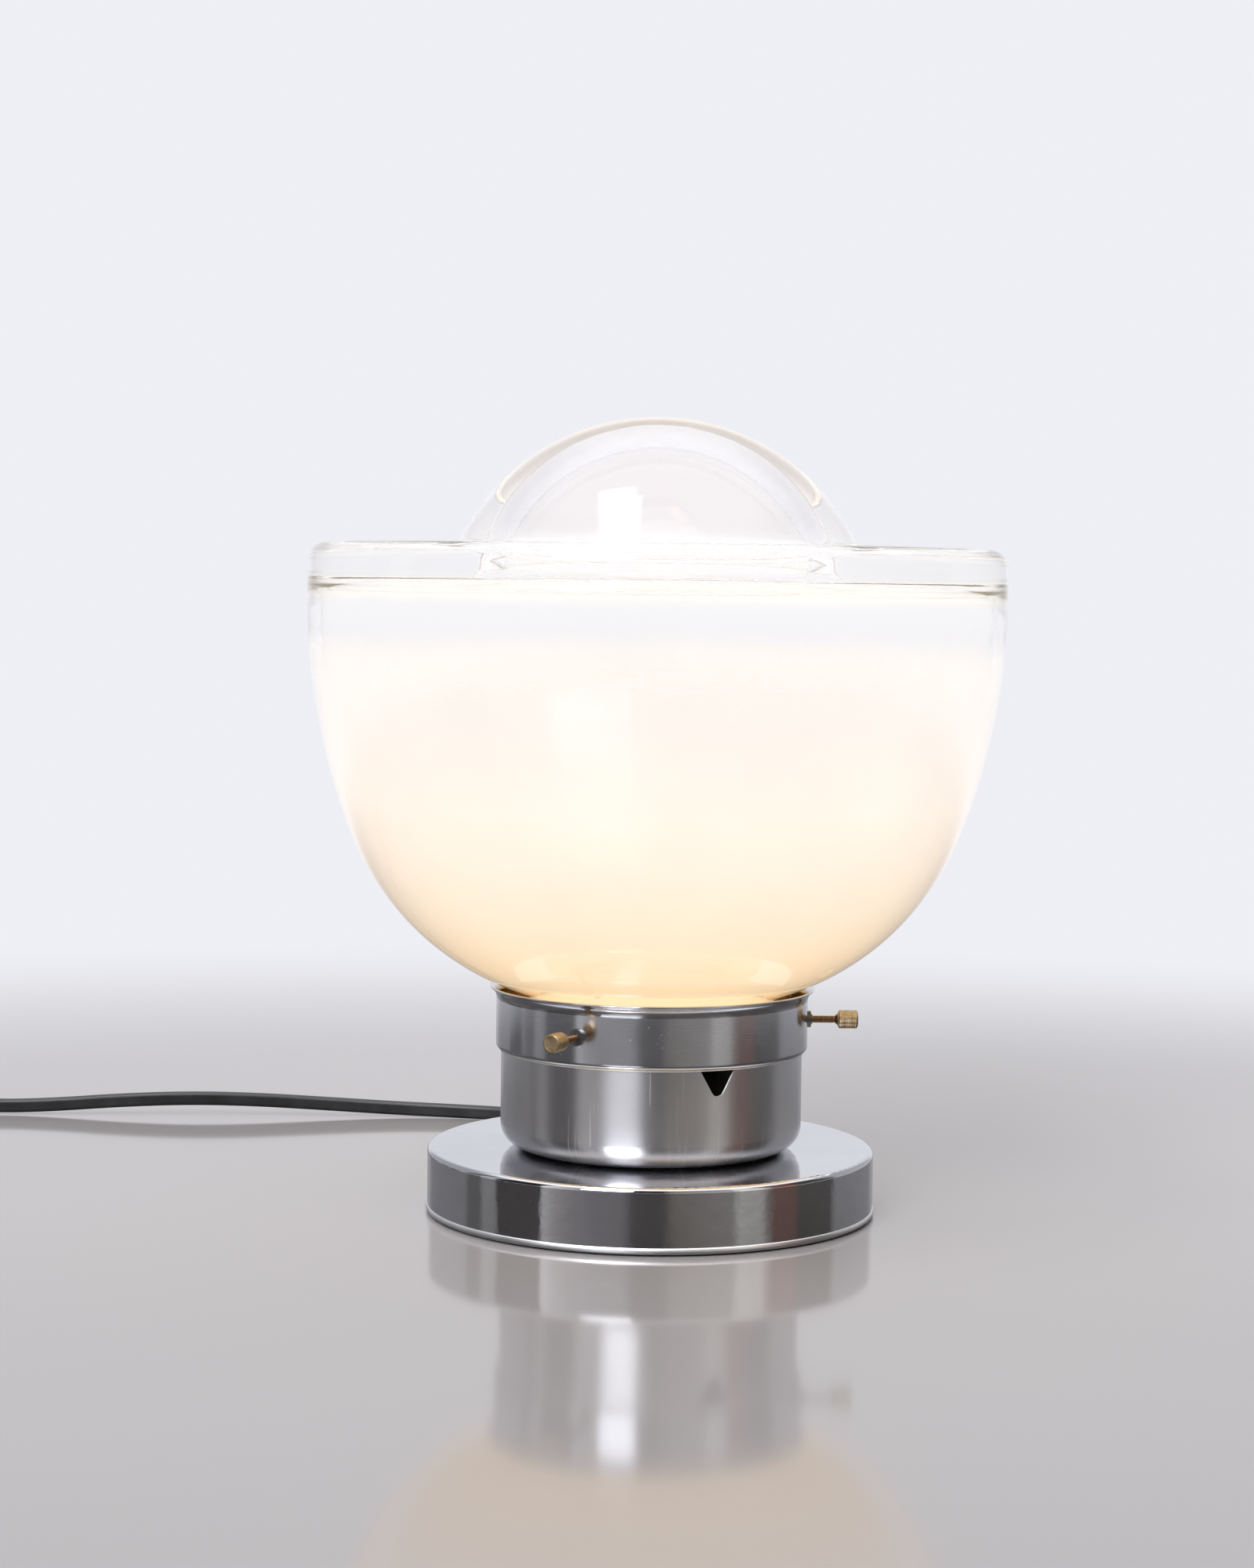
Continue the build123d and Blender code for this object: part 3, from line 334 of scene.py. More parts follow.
mouldedLooks = {
    "blackPaint": {
        "dark": grey(0.02), "light": grey(0.045), "rough": (0.45, 0.6), "grain": 0.3, "grainScale": 1800.0,
    },
    "blackRubber": {
        "dark": grey(0.012), "light": grey(0.028), "rough": (0.55, 0.72), "grain": 0.25,
    },
    "bakelite": {
        "dark": (0.016, 0.013, 0.011), "light": (0.04, 0.032, 0.027), "rough": (0.18, 0.3), "coat": 0.2,
    },
    "glazedCeramic": {
        "dark": (0.74, 0.72, 0.67), "light": (0.86, 0.85, 0.81), "rough": (0.14, 0.24), "coat": 0.4,
    },
    "cordBlack": {
        "dark": (0.011, 0.011, 0.012), "light": (0.024, 0.024, 0.026), "rough": (0.3, 0.44), "grain": 0.1,
    },
    "switchPlastic": {
        "dark": grey(0.014), "light": grey(0.03), "rough": (0.26, 0.4), "grain": 0.35, "grainScale": 3400.0,
    },
    "coreBrown": {
        "dark": (0.1, 0.04, 0.015), "light": (0.17, 0.075, 0.03), "rough": (0.35, 0.5),
    },
    "coreBlue": {
        "dark": (0.02, 0.07, 0.26), "light": (0.035, 0.12, 0.38), "rough": (0.35, 0.5),
    },
}
fabricLooks = {
    "blackFelt": {
        "dark": grey(0.006), "light": grey(0.05), "fibreScale": 900.0, "weaveScale": 40.0, "weaveAcross": "X",
    },
    "tieWeave": {
        "dark": grey(0.01), "light": grey(0.06), "fibreScale": 1600.0, "weaveScale": 420.0, "weaveAcross": "Y",
    },
}
finishes = {}
for make, looks in ((metalFinish, metalLooks), (mouldedFinish, mouldedLooks), (fabricFinish, fabricLooks)):
    for name, look in looks.items():
        finishes[name] = make(name, look)


# Blown glass: a clear body, and inside its wall an opal layer that glows and fades out below the shoulder
shadeGlass = {
    "ior": 1.15, "coat": 0.6, "coatRough": 0.09,
    "veil": [  # light scattered in the lit glass, by height
        (0.06, (0.03, 0.02, 0.01)), (0.2, (0.02, 0.016, 0.012)), (0.233, (0.033, 0.03, 0.027)),
        (0.2365, (0.066, 0.056, 0.034)), (0.2425, (0.066, 0.056, 0.034)), (0.2455, (0.04, 0.036, 0.032)),
        (0.2555, (0.052, 0.049, 0.045)), (0.262, (0.016, 0.009, 0.008)), (0.306, (0.016, 0.009, 0.008)),
    ],
    "rough": (0.012, 0.04), "roughScale": 160.0, "waveScale": 55.0, "wave": 0.03, "waveDepth": 0.004,
    "tint": (0.972, 0.97, 0.965),
    "fade": (0.196, 0.224),  # heights between which the opal thins to nothing
    "glow": [  # height, colour
        (0.066, (1.12, 0.8, 0.45)), (0.094, (1.04, 0.775, 0.48)), (0.125, (0.99, 0.83, 0.655)),
        (0.16, (1.0, 0.895, 0.795)), (0.19, (0.92, 0.86, 0.805)), (0.21, (0.886, 0.848, 0.808)),
        (0.23, (0.886, 0.848, 0.808)),
    ],
    "strength": 1.05, "cloudScale": 26.0, "cloud": 0.965, "tones": (0.3, 0.7),
    "wispScale": 38.0, "wispReach": 0.006,  # how far the opal's upper edge wanders
    "body": (0.12, 0.11, 0.1), "opalRough": 0.35,
}


def byHeight(tree, coords, stops):
    low, high = stops[0][0], stops[-1][0]
    values = {"Value": heightOf(tree, coords), "From Min": low, "From Max": high}
    share = addNode(tree, "ShaderNodeMapRange", values).outputs["Result"]
    return addRamp(tree, share, [((place - low) / (high - low), colour) for place, colour in stops])


def clearGlass(look):
    made, tree, shader, coords = startMaterial("clearGlass")
    waves = noise(tree, coords, look["waveScale"], detail=2.0)
    rough = spread(tree, noise(tree, coords, look["roughScale"], detail=4.0), look["rough"])
    feed(tree, shader, {
        "Base Color": (*look["tint"], 1), "Roughness": rough, "Transmission Weight": 1.0, "IOR": look["ior"],
        "Coat Weight": look["coat"], "Coat Roughness": look["coatRough"],
        "Emission Color": byHeight(tree, coords, look["veil"]), "Emission Strength": 1.0,
    })
    bumpFrom(tree, shader, waves, look["wave"], look["waveDepth"])
    return made


def opalGlass(look):
    made, tree, shader, coords = startMaterial("opalGlass")
    colour = byHeight(tree, coords, look["glow"])
    tones = zip(look["tones"], (grey(look["cloud"]), grey(1.0)))
    clouds = addRamp(tree, noise(tree, coords, look["cloudScale"]), tones)
    colour = mixColours(tree, 1.0, colour, clouds, "MULTIPLY")
    swing = addMath(tree, "SUBTRACT", noise(tree, coords, look["wispScale"]), 0.5)
    wisps = addMath(tree, "MULTIPLY", swing, look["wispReach"])
    faded = addNode(tree, "ShaderNodeMapRange", {
        "Value": addMath(tree, "ADD", heightOf(tree, coords), wisps),
        "From Min": look["fade"][0], "From Max": look["fade"][1], "To Min": 1.0, "To Max": 0.0,
    }, interpolation_type="SMOOTHSTEP")
    feed(tree, shader, {
        "Emission Color": colour, "Emission Strength": look["strength"], "Roughness": look["opalRough"],
        "Base Color": mixColours(tree, 1.0, colour, look["body"], "MULTIPLY"), "Alpha": faded.outputs["Result"],
    })
    return made


bulbLook = {
    "colour": (1.0, 0.86, 0.66), "rim": (1.0, 0.7, 0.42), "strength": 1.15,
    "cloudScale": 120.0, "tones": (0.3, 0.55), "whiter": 0.5, "rough": 0.4,
}


def frostedBulb(look):
    made, tree, shader, coords = startMaterial("frostedBulb")
    cloud = noise(tree, coords, look["cloudScale"], detail=4.0)
    colour = addRamp(tree, cloud, zip(look["tones"], (look["rim"], look["colour"])))
    feed(tree, shader, {
        "Emission Color": colour, "Emission Strength": look["strength"], "Roughness": look["rough"],
        "Base Color": mixColours(tree, look["whiter"], colour, (1, 1, 1)),
    })
    return made


finishes["clearGlass"] = clearGlass(shadeGlass)
finishes["opalGlass"] = opalGlass(shadeGlass)
finishes["frostedBulb"] = frostedBulb(bulbLook)
print("finishes made:", len(finishes))


# Pieces made here
def newPiece(name, mesh, finish=None):
    made = bpy.data.objects.new(name, mesh)
    scene.collection.objects.link(made)
    if finish:
        mesh.materials.clear()
        mesh.materials.append(finishes[finish])
    return made


def finalMesh(held):
    bpy.context.view_layer.update()
    return bpy.data.meshes.new_from_object(held.evaluated_get(bpy.context.evaluated_depsgraph_get()))


def closeMesh(name, work):
    bmesh.ops.recalc_face_normals(work, faces=work.faces)
    mesh = bpy.data.meshes.new(name)
    work.to_mesh(mesh)
    work.free()
    mesh.polygons.foreach_set("use_smooth", [True] * len(mesh.polygons))
    return mesh


def arcPoints(centre, radius, start, end, steps):
    made = []
    for step in range(steps + 1):
        angle = math.radians(start + (end - start) * step / steps)
        made.append((centre[0] + radius * math.cos(angle), centre[1] + radius * math.sin(angle)))
    return made


def lathe(name, outline, finish, turns=192, sharpOver=None):
    # outline is closed, as (distance from the axis, height); points on the axis are shared
    work = bmesh.new()
    rings = []
    angles = [2 * math.pi * k / turns for k in range(turns)]
    for across, height in outline:
        if across < 1e-6:
            rings.append([work.verts.new((0, 0, height))])
        else:
            rings.append([
                work.verts.new((across * math.cos(angle), across * math.sin(angle), height)) for angle in angles
            ])
    for first, second in zip(rings, rings[1:] + rings[:1]):
        if len(first) == 1 and len(second) == 1:
            continue
        for k in range(turns):
            ahead = (k + 1) % turns
            if len(first) == 1:
                corners = (first[0], second[k], second[ahead])
            elif len(second) == 1:
                corners = (first[k], second[0], first[ahead])
            else:
                corners = (first[k], second[k], second[ahead], first[ahead])
            work.faces.new(corners)
    mesh = closeMesh(name, work)
    if sharpOver:
        mesh.set_sharp_from_angle(angle=math.radians(sharpOver))
    return newPiece(name, mesh, finish)


# Flat cord: the route's points from the CAD source, in metres
flexLook = {
    "width": 0.0062, "thickness": 0.0036, "groove": 0.00022, "grooveWidth": 0.0006, "sides": 28, "resolution": 10,
    "flatness": 3.0,  # how soon the rounded edges turn into the flat sides
}
leadRoute = [
    (0.0, 0.110, 0.011), (0.0, 0.122, 0.011), (-0.002, 0.137, 0.009), (-0.008, 0.153, 0.006), (-0.020, 0.1685, 0.0039),
    (-0.038, 0.1815, 0.00325), (-0.060, 0.191, 0.0032), (-0.086, 0.197, 0.0033), (-0.113, 0.1993, 0.0039),
    (-0.143, 0.1996, 0.0054), (-0.174, 0.1986, 0.0071), (-0.205, 0.197, 0.0078), (-0.237, 0.1955, 0.0066),
    (-0.267, 0.194, 0.0044), (-0.293, 0.1932, 0.0036), (-0.314, 0.193, 0.0052), (-0.330, 0.1931, 0.0065),
    (-0.338, 0.1931, 0.0065),
]
coilLook = {
    "centre": (-0.430, 0.153), "radius": 0.0403, "pitch": 0.0044, "turnsInLayer": 2.5, "layerHeight": 0.0073,
    "dip": 0.005, "lowLayer": 0.00415, "pointsPerTurn": 24,
    "entry": [(-0.396, 0.1931, 0.0065), (-0.4022, 0.1931, 0.0065)],
    "tail": [(-0.414, 0.1127, 0.01145), (-0.3842, 0.1127, 0.00685), (-0.378, 0.1127, 0.00685)],
}


def coilRoute(look):
    rate = look["pitch"] / (2 * math.pi)
    layer = 2 * math.pi * look["turnsInLayer"]
    inner = look["radius"] - rate * layer
    total = 2 * layer + math.pi
    count = round(total / (2 * math.pi) * look["pointsPerTurn"])
    route = list(look["entry"])
    for k in range(count + 1):
        angle = total * k / count
        past = min(max(angle - layer, 0.0), math.pi)  # how far into the turn back
        share = past / math.pi
        if angle <= layer:
            across = look["radius"] - rate * angle
        elif angle <= layer + math.pi:
            across = inner - rate * past + rate * past * past / math.pi - look["dip"] * math.sin(past) ** 2
        else:
            across = inner + rate * (angle - layer - math.pi)
        turn = math.pi / 2 + angle
        route.append((
            look["centre"][0] + across * math.cos(turn), look["centre"][1] + across * math.sin(turn),
            look["lowLayer"] + look["layerHeight"] * share * share * (3 - 2 * share),
        ))
    return route + list(look["tail"])


def smoothLine(name, route, resolution):
    curve = bpy.data.curves.new(name, "CURVE")
    curve.dimensions = "3D"
    spline = curve.splines.new("NURBS")
    spline.points.add(len(route) - 1)
    for point, place in zip(spline.points, route):
        point.co = (*place, 1)
    spline.use_endpoint_u = True
    spline.order_u = 3
    spline.resolution_u = resolution
    holder = bpy.data.objects.new(name, curve)
    scene.collection.objects.link(holder)
    mesh = finalMesh(holder)
    line = [vertex.co.copy() for vertex in mesh.vertices]
    bpy.data.objects.remove(holder)
    bpy.data.curves.remove(curve)
    bpy.data.meshes.remove(mesh)
    return line


def flexSection(look):
    half = (look["width"] - look["thickness"]) / 2
    end = look["thickness"] / 2
    made = []
    for k in range(look["sides"]):
        angle = 2 * math.pi * k / look["sides"]
        side, up = end * math.cos(angle), end * math.sin(angle)
        up += half * max(-1.0, min(1.0, look["flatness"] * math.sin(angle)))
        dent = look["groove"] * math.exp(-((up / look["grooveWidth"]) ** 2))  # seam between the two cores
        made.append((side - math.copysign(dent, side), up))
    return made


def flatTube(name, line, look, finish):
    section = flexSection(look)
    work = bmesh.new()
    rings = []
    for k, place in enumerate(line):
        along = (line[min(k + 1, len(line) - 1)] - line[max(k - 1, 0)]).normalized()
        upright = (Vector((0, 0, 1)) - along * along.z).normalized()  # the cord stands on edge
        side = upright.cross(along)
        rings.append([work.verts.new(place + side * across + upright * up) for across, up in section])
    for first, second in zip(rings, rings[1:]):
        for k in range(len(section)):
            ahead = (k + 1) % len(section)
            work.faces.new((first[k], first[ahead], second[ahead], second[k]))
    work.faces.new(rings[0])
    work.faces.new(rings[-1])
    return newPiece(name, closeMesh(name, work), finish)


def lineLength(line):
    return sum((second - first).length for first, second in zip(line, line[1:]))


leadLine = smoothLine("leadLine", leadRoute, flexLook["resolution"])
coilLine = smoothLine("coilLine", coilRoute(coilLook), flexLook["resolution"])
leadFlex = flatTube("leadFlex", leadLine, flexLook, "cordBlack")
coilFlex = flatTube("coilFlex", coilLine, flexLook, "cordBlack")
for piece, node in ((leadFlex, "cord_lead"), (coilFlex, "cord_coil")):
    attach(piece, "lamp")
    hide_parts(node)
print("cord laid, metres to the switch and after it:", *(round(lineLength(line), 3) for line in (leadLine, coilLine)))


# Strap round the coil
strapLook = {
    "thickness": 0.0009, "corner": 0.003, "cornerSteps": 8, "width": 0.009, "rows": 9, "edge": 0.0002, "edgeSteps": 2,
}


def makeStrap(look):
    low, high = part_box("cord_tie")
    middle = (low.y + high.y) / 2
    x1, z1 = high.x - look["thickness"] / 2, high.z - look["thickness"] / 2
    r, x0, z0 = look["corner"], low.x + look["thickness"] / 2, low.z + look["thickness"] / 2
    corners = [
        ((x1 - r, z1 - r), 90, 0), ((x1 - r, z0 + r), 0, -90),
        ((x0 + r, z0 + r), 270, 180), ((x0 + r, z1 - r), 180, 90),
    ]
    loop = []
    for centre, start, end in corners:
        loop += arcPoints(centre, r, start, end, look["cornerSteps"])
    work = bmesh.new()
    rings = []
    across = [middle + look["width"] * (k / (look["rows"] - 1) - 0.5) for k in range(look["rows"])]
    for x, z in loop + loop[:1]:
        rings.append([work.verts.new((x, y, z)) for y in across])
    for first, second in zip(rings, rings[1:]):
        for k in range(look["rows"] - 1):
            work.faces.new((first[k], first[k + 1], second[k + 1], second[k]))
    bmesh.ops.remove_doubles(work, verts=work.verts, dist=1e-6)
    made = newPiece("coilStrap", closeMesh("coilStrap", work), "tieWeave")
    wall = made.modifiers.new("wall", "SOLIDIFY")
    wall.thickness, wall.offset = look["thickness"], 0.0
    soft = made.modifiers.new("soft", "BEVEL")
    soft.width, soft.segments, soft.limit_method = look["edge"], look["edgeSteps"], "ANGLE"
    return made


coilStrap = makeStrap(strapLook)
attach(coilStrap, "lamp")
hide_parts("cord_tie")

# Finishes for the nodes, also those that a piece replaces
nodeFinishes = {
    "polishedChrome": ["base_shell"],
    "satinChrome": ["canister"],
    "galleryChrome": ["gallery_cup"],
    "darkSteel": ["screw_bushes"],
    "castIron": ["base_ballast"],
    "blackPaint": ["base_cover"],
    "blackFelt": ["base_felt"],
    "zincSteel": [
        "threaded_tube", "foot_washer", "foot_nut", "canister_washer", "canister_nut", "gallery_nut", "star_washer",
        "terminal_screws", "cord_clamp", "clamp_screws", "switch_screws", "switch_pivot_pin", "bulb_filament",
    ],
    "blackRubber": ["base_spacer", "shade_gasket", "cord_strain_relief"],
    "bakelite": ["holder_cap", "holder_skirt", "bulb_insulator"],
    "glazedCeramic": ["holder_insert"],
    "brightBrass": ["holder_thread_shell", "holder_centre_contact", "terminal_posts", "switch_contacts"],
    "bulbMetal": ["bulb_cap", "bulb_contact"],
    "frostedBulb": ["bulb_envelope", "bulb_stem"],
    "cordBlack": ["cord_inner", "cord_lead", "cord_coil", "plug_body"],
    "coreBrown": ["core_live"],
    "coreBlue": ["core_neutral"],
    "switchPlastic": ["switch_lower_shell", "switch_upper_shell", "switch_rocker"],
    "pinNickel": ["plug_pins"],
    "agedBrass": ["thumb_screw_left", "thumb_screw_right", "thumb_screw_rear"],
    "clearGlass": ["glass_neck", "glass_bowl", "glass_crown"],
    "tieWeave": ["cord_tie"],
}
for finish, names in nodeFinishes.items():
    for name in names:
        for held in nodes[name].material_slots:
            held.material = finishes[finish]
print("nodes finished:", sum(map(len, nodeFinishes.values())))

# Rolled beads round the foot of the base and under the gallery, in chrome painted far lighter than the base's as a
# painted highlight line
beadLook = {
    "footBead": {"radius": 0.0857, "height": 0.0019, "out": 0.0008, "half": 0.0013, "steps": 24},
    "galleryBead": {"radius": 0.0583, "height": 0.0631, "out": 0.0005, "half": 0.0005, "steps": 16},
}


def makeBead(name, look):
    outline = []
    for k in range(look["steps"]):
        angle = 2 * math.pi * k / look["steps"]
        across = look["radius"] + look["out"] * math.cos(angle)
        outline.append((across, look["height"] + look["half"] * math.sin(angle)))
    made = lathe(name, outline, "beadHighlightChrome")
    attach(made, "lamp")


for bead, look in beadLook.items():
    makeBead(bead, look)

# Shade outline, the same sizes as the CAD source, in metres
shadeLook = {
    "seat": 0.0657, "neckOut": 0.047, "neckIn": 0.041, "lip": 0.002, "equatorRadius": 0.1333, "sideRadius": 0.247,
    "sideAngle": 21.2, "bellyRadius": 0.104, "wall": 0.005, "shoulderRounding": 0.007, "innerRounding": 0.006,
    "shoulderThickness": 0.013, "equatorBand": 0.001, "domeRadius": 0.0846, "domeRise": 0.049, "domeWall": 0.013,
    "innerDome": 0.062, "footFillet": 0.004, "rimGap": 0.0021, "rimRadius": 0.06266968, "rimTop": 0.08753314,
    "opalUnder": 0.0004, "opalWall": 0.0012, "opalTop": 0.2295,
    "lipSteps": 6, "bellySteps": 40, "sideSteps": 20, "shoulderSteps": 10, "filletSteps": 8, "domeSteps": 36,
}


def shadeHeights(look):
    turn = math.radians(look["sideAngle"])
    sideCentre = look["equatorRadius"] - look["sideRadius"]
    bellyX = sideCentre + (look["sideRadius"] - look["bellyRadius"]) * math.cos(turn)
    overRim = math.sqrt(look["bellyRadius"] ** 2 - (look["rimRadius"] - bellyX) ** 2)
    bellyZ = look["rimTop"] + look["rimGap"] + overRim
    equator = bellyZ + (look["sideRadius"] - look["bellyRadius"]) * math.sin(turn)
    return sideCentre, bellyX, bellyZ, equator


def bowlSide(look, inset, neck):
    # from the neck up to the equator, inset from the outer face
    sideCentre, bellyX, bellyZ, equator = shadeHeights(look)
    belly, side = look["bellyRadius"] - inset, look["sideRadius"] - inset
    neckAngle = -math.degrees(math.acos((neck - bellyX) / belly))
    made = arcPoints((bellyX, bellyZ), belly, neckAngle, -look["sideAngle"], look["bellySteps"])
    return made + arcPoints((sideCentre, equator), side, -look["sideAngle"], 0, look["sideSteps"])[1:]


def crownSide(look, inset, shoulder, rounding, capRadius, capCentre):
    # from the equator over the shoulder and round the dome's foot to its top
    edge, fillet = look["equatorRadius"] - inset, look["footFillet"]
    rise = shoulder + fillet - capCentre
    footX = math.sqrt((capRadius + fillet) ** 2 - rise ** 2)
    foot = math.degrees(math.atan2(rise, footX))
    made = arcPoints((edge - rounding, shoulder - rounding), rounding, 0, 90, look["shoulderSteps"])
    made += arcPoints((footX, shoulder + fillet), fillet, -90, foot - 180, look["filletSteps"])
    return made + arcPoints((0, capCentre), capRadius, foot, 90, look["domeSteps"])[1:]


def shadeOutline(look):
    equator = shadeHeights(look)[3]
    shoulder = equator + look["equatorBand"] + look["innerRounding"] + look["shoulderThickness"]
    top = shoulder + look["domeRise"]
    lip, low, steps = look["lip"], look["seat"] + look["lip"], look["lipSteps"]
    outer = arcPoints((look["neckOut"] - lip, low), lip, -90, 0, steps) + bowlSide(look, 0.0, look["neckOut"])
    outer += crownSide(look, 0.0, shoulder, look["shoulderRounding"], look["domeRadius"], top - look["domeRadius"])
    inner = arcPoints((look["neckIn"] + lip, low), lip, 270, 180, steps) + bowlSide(look, look["wall"], look["neckIn"])
    inner += crownSide(
        look, look["wall"], shoulder - look["shoulderThickness"], look["innerRounding"], look["innerDome"],
        top - look["domeWall"] - look["innerDome"],
    )
    return outer + inner[::-1]


def opalOutline(look):
    low = look["seat"] + look["lip"]
    under, deep = look["opalUnder"], look["opalUnder"] + look["opalWall"]
    outer = [(look["neckOut"] - under, low)] + bowlSide(look, under, look["neckOut"] - under)
    inner = [(look["neckOut"] - deep, low)] + bowlSide(look, deep, look["neckOut"] - deep)
    outer = [point for point in outer if point[1] < look["opalTop"]]
    inner = [point for point in inner if point[1] < look["opalTop"]]
    return outer + inner[::-1]


glassBody = lathe("glassBody", shadeOutline(shadeLook), "clearGlass")
opalLayer = lathe("opalLayer", opalOutline(shadeLook), "opalGlass")
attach(glassBody, "shade")
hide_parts("glass_neck", "glass_bowl", "glass_crown")
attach(opalLayer, "shade")
print("shade blown")


# Geometry Nodes for what repeats: threads, knurls and ribs
treeLook = {
    "threadSteps": 20, "threadSides": 4, "ribSides": 10, "rowSides": 12,
    "knurlFill": 0.98,  # half width of a knurl against the height of its row
}


def startTree(name, inputs):
    tree = bpy.data.node_groups.new(name, "GeometryNodeTree")
    for label, kind in [("Geometry", "Geometry"), *inputs, ("Finish", "Material")]:
        tree.interface.new_socket(label, in_out="INPUT", socket_type="NodeSocket" + kind)
    tree.interface.new_socket("Geometry", in_out="OUTPUT", socket_type="NodeSocketGeometry")
    return tree, tree.nodes.new("NodeGroupInput").outputs


def endTree(tree, given, geometry):
    real = addNode(tree, "GeometryNodeRealizeInstances", {"Geometry": geometry})
    painted = addNode(tree, "GeometryNodeSetMaterial", {"Geometry": real, "Material": given["Finish"]})
    addNode(tree, "NodeGroupOutput", {0: painted})
    return tree


def growPiece(name, tree, finish, values, start=None):
    # start is a mesh object that the tree adds to; the result is a plain mesh at the origin
    values = {**values, "Finish": finishes[finish]}
    seed = start or newPiece(name, bpy.data.meshes.new(name))
    nodesOn = seed.modifiers.new("grow", "NODES")
    nodesOn.node_group = tree
    for socket in tree.interface.items_tree:
        if socket.in_out == "INPUT" and socket.name in values:
            nodesOn[socket.identifier] = values[socket.name]
    mesh = finalMesh(seed)
    seed.modifiers.clear()
    bpy.data.objects.remove(seed)
    mesh.name = name
    return newPiece(name, mesh)


threadInputs = [("Thread " + part, "Float") for part in ("Radius", "Pitch", "Depth", "Start", "Length")]


def spiralRidge(tree, given):
    # a thread's ridge round Z, from "Thread Start" up
    turns = addMath(tree, "DIVIDE", given["Thread Length"], given["Thread Pitch"])
    path = addNode(tree, "GeometryNodeCurveSpiral", {
        "Resolution": treeLook["threadSteps"], "Rotations": turns, "Start Radius": given["Thread Radius"],
        "End Radius": given["Thread Radius"], "Height": given["Thread Length"],
    })
    section = addNode(tree, "GeometryNodeCurvePrimitiveCircle", {
        "Resolution": treeLook["threadSides"], "Radius": given["Thread Depth"],
    })
    ridge = addNode(tree, "GeometryNodeCurveToMesh", {"Curve": path, "Profile Curve": section, "Fill Caps": True})
    lift = addNode(tree, "ShaderNodeCombineXYZ", {"Z": given["Thread Start"]})
    return addNode(tree, "GeometryNodeTransform", {"Geometry": ridge, "Translation": lift})


def knurledFace(tree, given):
    # rows of small pyramids round Z, every other row shifted by half a step
    total = addMath(tree, "MULTIPLY", given["Knurls Round"], given["Knurl Rows"])
    line = addNode(tree, "GeometryNodeMeshLine", {"Count": total, "Offset": (0, 0, 0)})
    index = addNode(tree, "GeometryNodeInputIndex")
    row = addMath(tree, "FLOOR", addMath(tree, "DIVIDE", addMath(tree, "ADD", index, 0.5), given["Knurls Round"]))
    shift = addMath(tree, "MULTIPLY", addMath(tree, "MODULO", row, 2.0), 0.5)
    step = addMath(tree, "DIVIDE", 2 * math.pi, given["Knurls Round"])
    angle = addMath(tree, "MULTIPLY", addMath(tree, "ADD", index, shift), step)
    rise = addMath(tree, "DIVIDE", given["Knurl Length"], given["Knurl Rows"])
    middle = addMath(tree, "MULTIPLY", addMath(tree, "ADD", row, 0.5), rise)
    height = addMath(tree, "ADD", middle, given["Knurl Start"])
    place = addNode(tree, "ShaderNodeCombineXYZ", {
        "X": addMath(tree, "MULTIPLY", addMath(tree, "COSINE", angle), given["Knurl Radius"]),
        "Y": addMath(tree, "MULTIPLY", addMath(tree, "SINE", angle), given["Knurl Radius"]), "Z": height,
    })
    spots = addNode(tree, "GeometryNodeSetPosition", {"Geometry": line, "Position": place})
    tip = addNode(tree, "GeometryNodeMeshCone", {
        "Vertices": 4, "Radius Top": 0.0, "Radius Bottom": addMath(tree, "MULTIPLY", rise, treeLook["knurlFill"]),
        "Depth": given["Knurl Depth"],
    })
    facing = addNode(tree, "ShaderNodeCombineXYZ", {"Y": math.pi / 2, "Z": angle})
    return addNode(tree, "GeometryNodeInstanceOnPoints", {"Points": spots, "Instance": tip, "Rotation": facing})


def thumbScrewTree():
    tree, given = startTree("thumbScrew", threadInputs + [
        ("Knurls Round", "Int"), ("Knurl Rows", "Int"), ("Knurl Radius", "Float"), ("Knurl Depth", "Float"),
        ("Knurl Start", "Float"), ("Knurl Length", "Float"), ("Turn", "Vector"), ("Place", "Vector"),
    ])
    joined = addNode(tree, "GeometryNodeJoinGeometry")
    for part in (knurledFace(tree, given), spiralRidge(tree, given), given["Geometry"]):
        feed(tree, joined, {0: part})
    moved = addNode(tree, "GeometryNodeTransform", {
        "Geometry": joined, "Translation": given["Place"], "Rotation": given["Turn"],
    })
    return endTree(tree, given, moved)


def ribBar(tree, given, sides):
    return addNode(tree, "GeometryNodeMeshCylinder", {
        "Vertices": sides, "Radius": addMath(tree, "DIVIDE", given["Rib Width"], 2.0), "Depth": given["Rib Length"],
    })


def ribTree():
    # bars round an axis along Z
    tree, given = startTree("ribs", [
        ("Ribs", "Int"), ("Rib Radius", "Float"), ("Rib Width", "Float"), ("Rib Length", "Float"),
        ("Rib Height", "Float"),
    ])
    ring = addNode(tree, "GeometryNodeMeshCircle", {"Vertices": given["Ribs"], "Radius": given["Rib Radius"]})
    bar = ribBar(tree, given, treeLook["ribSides"])
    lift = addNode(tree, "ShaderNodeCombineXYZ", {"Z": given["Rib Height"]})
    raised = addNode(tree, "GeometryNodeTransform", {"Geometry": ring, "Translation": lift})
    bars = addNode(tree, "GeometryNodeInstanceOnPoints", {"Points": raised, "Instance": bar})
    return endTree(tree, given, bars)


def rowTree():
    # bars side by side along a line
    tree, given = startTree("ribRow", [
        ("Ribs", "Int"), ("First", "Vector"), ("Step", "Vector"), ("Rib Width", "Float"), ("Rib Length", "Float"),
        ("Turn", "Vector"),
    ])
    line = addNode(tree, "GeometryNodeMeshLine", {
        "Count": given["Ribs"], "Start Location": given["First"], "Offset": given["Step"],
    })
    bar = ribBar(tree, given, treeLook["rowSides"])
    bars = addNode(tree, "GeometryNodeInstanceOnPoints", {"Points": line, "Instance": bar, "Rotation": given["Turn"]})
    return endTree(tree, given, bars)


